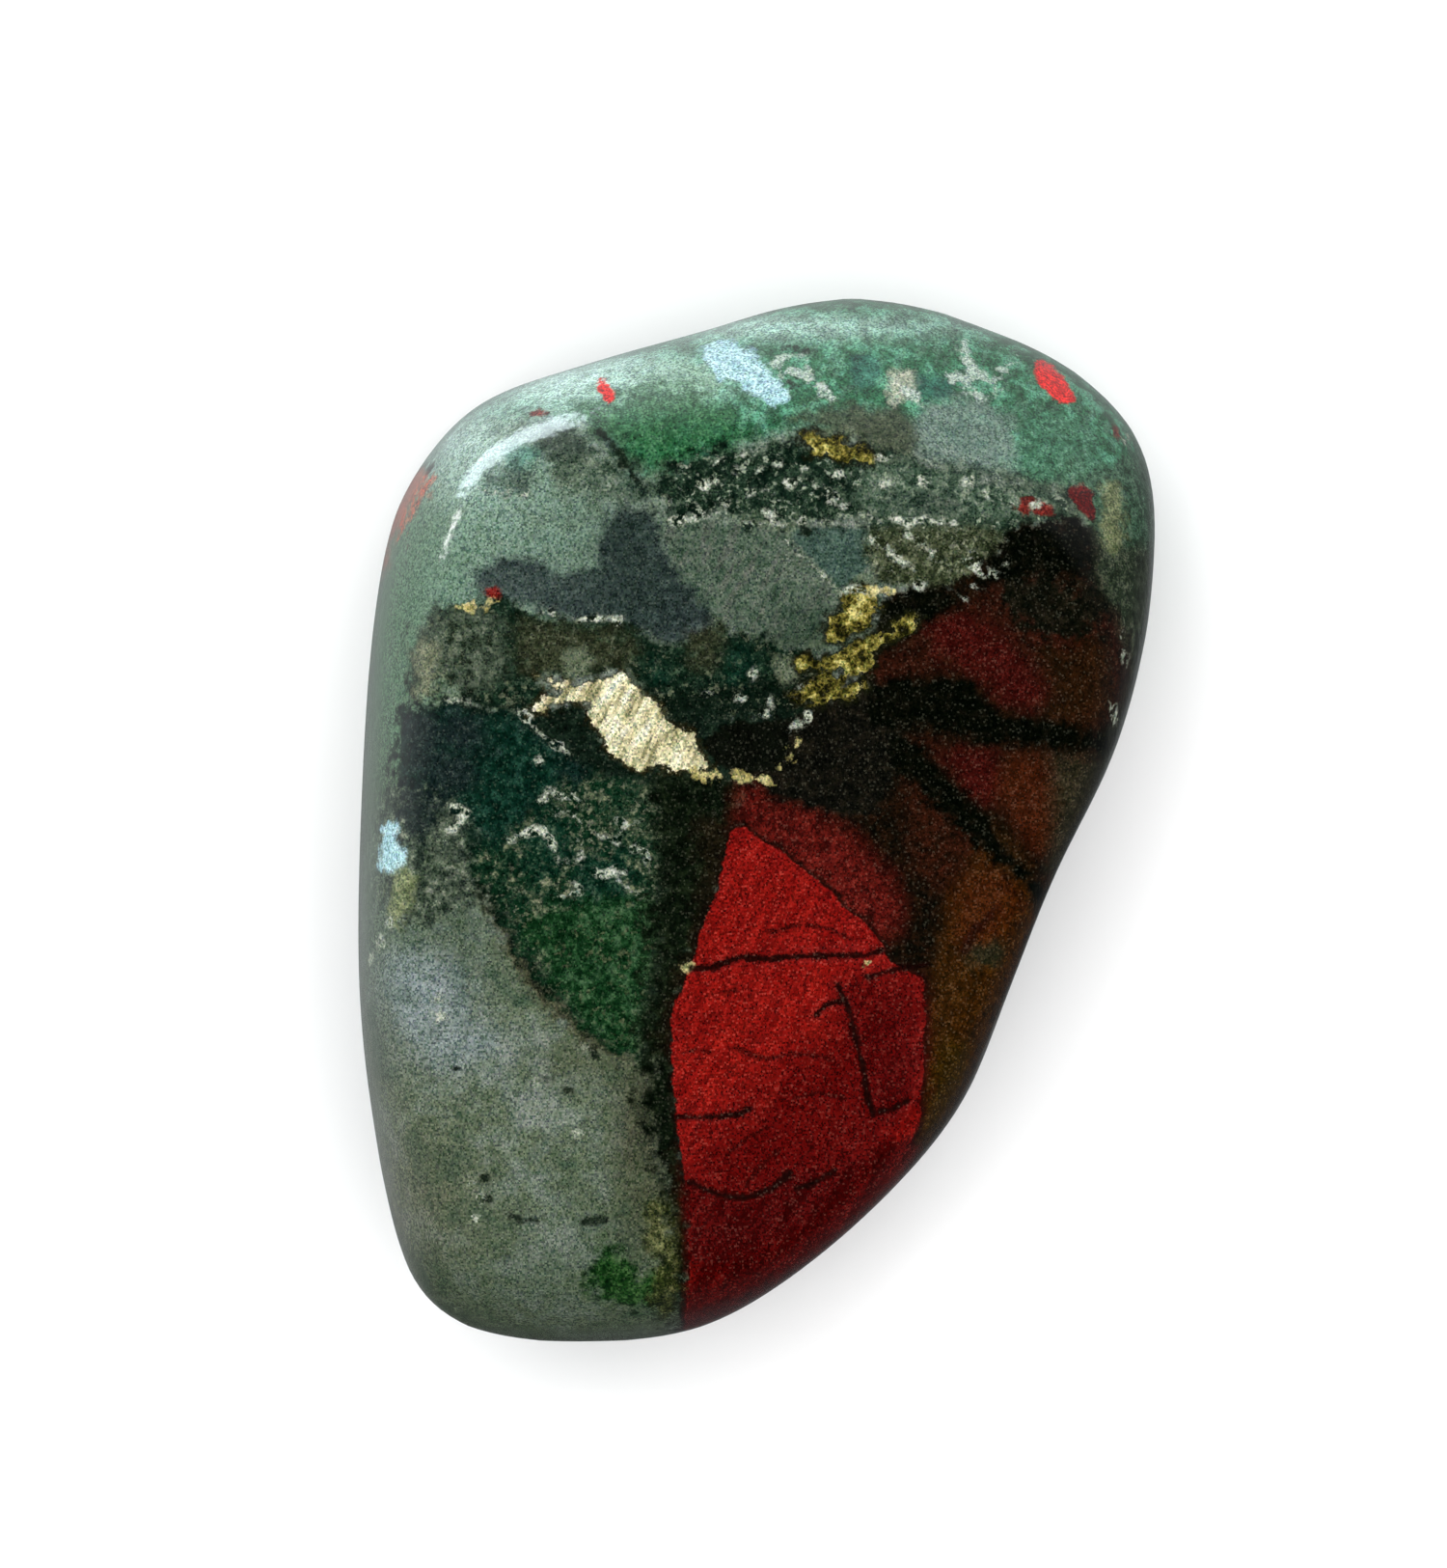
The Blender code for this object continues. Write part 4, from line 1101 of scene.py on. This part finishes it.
def share_of(wiring, coat, fields, patterns, pushed):
    """How much of a coat shows at each place, from 0 to 1."""
    if "wash" in coat:
        cloudy = wiring.maths("MULTIPLY_ADD", fields["mottle"], *WASH_CLOUDS)
        return wiring.maths("MULTIPLY", wiring.kept(coat["wash"]), cloudy)
    away = wiring.maths("MULTIPLY_ADD", pushed, coat["ragged"], wiring.kept(coat["body"]))
    share = wiring.step(away, coat["grow"] + coat["soft"], coat["grow"] - coat["soft"])
    if coat["where"]:
        share = wiring.maths("MULTIPLY", share, patterns[coat["where"]])
    if coat["strength"] < 1:
        share = wiring.maths("MULTIPLY", share, coat["strength"])
    return share


def paint_of(wiring, coat, fields):
    """A coat's colour: its one tone, or its tones spread over a noise field."""
    first, *others = coat["tones"]
    if others:
        return wiring.tones(fields[coat["by"]], coat["tones"], coat["spread"])
    return srgb(*first) + (1,)


def coated(wiring, fields):
    """The stone's colour: the grey-green with every coat over it."""
    patterns = noise_patterns(wiring, fields)
    pushed = wiring.maths(
        "ADD", wiring.maths("MULTIPLY_ADD", fields["mottle"], EDGE_MOTTLE, -EDGE_MOTTLE / 2),
        wiring.maths("MULTIPLY_ADD", fields["grit"], EDGE_GRIT, -EDGE_GRIT / 2))
    ground = wiring.maths("ADD", wiring.maths("MULTIPLY", fields["cloud"], 0.5),
                          wiring.maths("MULTIPLY", fields["mottle"], 0.5))
    colour = wiring.tones(ground, GREY_GREEN, GREY_GREEN_SPREAD)
    for coat in LAYERS:
        share = share_of(wiring, coat, fields, patterns, pushed)
        colour = wiring.mixed(share, colour, paint_of(wiring, coat, fields))
    return colour


def specked(wiring, place, colour):
    """The colour with fine specks in it, each a little lighter or darker, and some that glint."""
    cells = wiring.scaled(place, (MM / SPECKS_A_MM,) * 3, SPECKS_TURNED)
    cells = wiring.vectors("FLOOR", cells)
    light = wiring.add("TexWhiteNoise", {"Vector": cells}, output="Value")
    tints = wiring.add("TexWhiteNoise", {"Vector": cells}, output="Color")
    grain = wiring.maths("MULTIPLY_ADD", light, SPECKS_LIGHT * BRIGHTNESS, SPECKS_LEAST * BRIGHTNESS)
    grain = wiring.vectors("MULTIPLY_ADD", tints, (SPECKS_TINT * BRIGHTNESS,) * 3, grain)
    colour = wiring.vectors("MULTIPLY", colour, grain)
    return wiring.vectors("MULTIPLY_ADD", wiring.step(light, *GLINTS), GLINT_LIGHT, colour)


def stone_material():
    """Polished jasper: every body in its own tones, with ragged edges and a fine grain."""
    material = bpy.data.materials.new("polished_bloodstone")
    material.use_nodes = True
    shader = material.node_tree.nodes["Principled BSDF"]
    wiring = Wiring(material)
    place = wiring.add("TexCoord", output="Object")
    where = wiring.scaled(place, (MM,) * 3)
    fields = noise_fields(wiring, place, where)
    colour = specked(wiring, place, coated(wiring, fields))
    roughness = wiring.maths("MULTIPLY_ADD", fields["grit"], GRIT_ROUGH, LEAST_ROUGH)
    ripple = wiring.noise(where, *RIPPLES)
    bump = wiring.add("Bump", {"Height": ripple, "Strength": RIPPLE_STRENGTH,
                               "Distance": RIPPLE_HEIGHT})
    wiring.set(shader.inputs["Base Color"], colour)
    wiring.set(shader.inputs["Roughness"], roughness)
    wiring.set(shader.inputs["Normal"], bump)
    shader.inputs["IOR"].default_value = JASPER_IOR
    return material


def make_stone():
    """The stone as the photo shows it, with its pattern kept on it before the cracks are pressed in."""
    piece = dense_stone()
    keep_pattern(piece)
    press_in(piece)
    select_only(piece)
    bpy.ops.object.shade_smooth()
    piece.data.materials.clear()
    piece.data.materials.append(stone_material())
    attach(piece, "root")
    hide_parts("stone")


# The floor: how wide it is, how far it lies below the stone so that the two don't flicker, and how
# pale and rough it is.
FLOOR_WIDTH = 2
FLOOR_BELOW = 0.02 * MM
FLOOR_TONE = (0.96, 0.96, 0.96, 1)
FLOOR_ROUGH = 0.9


def make_floor():
    """A plain pale floor, which the stone lies on and which doesn't show in its polish."""
    bpy.ops.mesh.primitive_plane_add(size=FLOOR_WIDTH, location=(0, 0, -FLOOR_BELOW))
    floor = bpy.context.active_object
    floor.name = "pale_floor"
    material = bpy.data.materials.new("pale_floor")
    material.use_nodes = True
    shader = material.node_tree.nodes["Principled BSDF"]
    shader.inputs["Base Color"].default_value = FLOOR_TONE
    shader.inputs["Roughness"].default_value = FLOOR_ROUGH
    floor.data.materials.append(material)
    floor.visible_glossy = False


# The studio's own light: its tone, the way towards its palest side, how it brightens from its dark
# side to there, and how it falls off from the level of the floor upwards.
STUDIO_TONE = (0.94, 0.98, 1.0, 1)
PALE_SIDE = (-0.4, 0.92, 0.0)
TOWARDS_PALE_SIDE = {"span": (-0.2, 1.0), "made": (0.06, 1.25)}
UPWARDS = {"span": (0.0, 0.8), "made": (0.9, 0.0)}


def make_world():
    """A studio that is dark overhead and pale at the sides, most of all beyond the stone's top."""
    world = bpy.data.worlds.new("studio")
    world.use_nodes = True
    wiring = Wiring(world)
    way = wiring.add("TexCoord", output="Generated")
    towards = wiring.vectors("DOT_PRODUCT", way, PALE_SIDE, output="Value")
    height = wiring.add("SeparateXYZ", {0: way}, output="Z")
    light = wiring.maths("MULTIPLY", wiring.straight(towards, **TOWARDS_PALE_SIDE),
                         wiring.straight(height, **UPWARDS))
    background = world.node_tree.nodes["Background"]
    wiring.set(background.inputs["Color"], STUDIO_TONE)
    wiring.set(background.inputs["Strength"], light)
    bpy.context.scene.world = world


# Softboxes: the way to each one and its height in degrees, how far off it is, and its power in watts.
# Those with a size show in the stone's polish. The key stands half below the level of the floor, so
# that the stone's steep side shows it as a wide arc. The rest only light the stone.
SOFTBOXES = {
    "key": {"faces": 124, "up": -1, "away": 0.5, "size": (0.42, 0.21), "power": 2.8,
            "tint": (0.78, 0.93, 1.0)},
    "streak": {"faces": 157, "up": 11, "away": 0.5, "size": (0.08, 0.06), "power": 0.25},
    "upper_left": {"faces": 135, "up": 66, "away": 0.9, "power": 3.55},
    "upper_right": {"faces": 45, "up": 66, "away": 0.9, "power": 3.3},
    "lower_right": {"faces": -45, "up": 66, "away": 0.9, "power": 3.3},
    "lower_left": {"faces": 225, "up": 66, "away": 0.9, "power": 3.3},
}
PLAIN_SIZE = (0.5, 0.5)
WHITE = (1, 1, 1)


def make_lights():
    """Stands the softboxes round the stone, each turned to face it."""
    for name, box in SOFTBOXES.items():
        turn, up = math.radians(box["faces"]), math.radians(box["up"])
        way = Vector((math.cos(up) * math.cos(turn), math.cos(up) * math.sin(turn), math.sin(up)))
        bpy.ops.object.light_add(type="AREA", location=way * box["away"],
                                 rotation=way.to_track_quat("Z", "Y").to_euler())
        light = bpy.context.active_object
        light.name = name + "_softbox"
        light.data.shape = "RECTANGLE"
        light.data.size, light.data.size_y = box.get("size", PLAIN_SIZE)
        light.data.energy = box["power"]
        light.data.color = box.get("tint", WHITE)
        light.visible_glossy = "size" in box


def make_camera():
    """Looks straight down from far off, so that the stone is as large as in the photo."""
    middle = (Vector(PHOTO_SIZE) / 2 - Vector(STONE_MIDDLE)) * PIXEL
    bpy.ops.object.camera_add(location=(middle.x, -middle.y, GIRDLE + CAMERA_AWAY),
                              rotation=(0, 0, 0))
    camera = bpy.context.active_object
    camera.data.sensor_width = SENSOR
    camera.data.lens = SENSOR * CAMERA_AWAY / (PHOTO_SIZE[1] * PIXEL)
    camera.data.clip_start, camera.data.clip_end = CAMERA_SEES
    bpy.context.scene.camera = camera


make_camera()
make_stone()
make_floor()
make_world()
make_lights()
bpy.context.scene.view_settings.view_transform = "Standard"
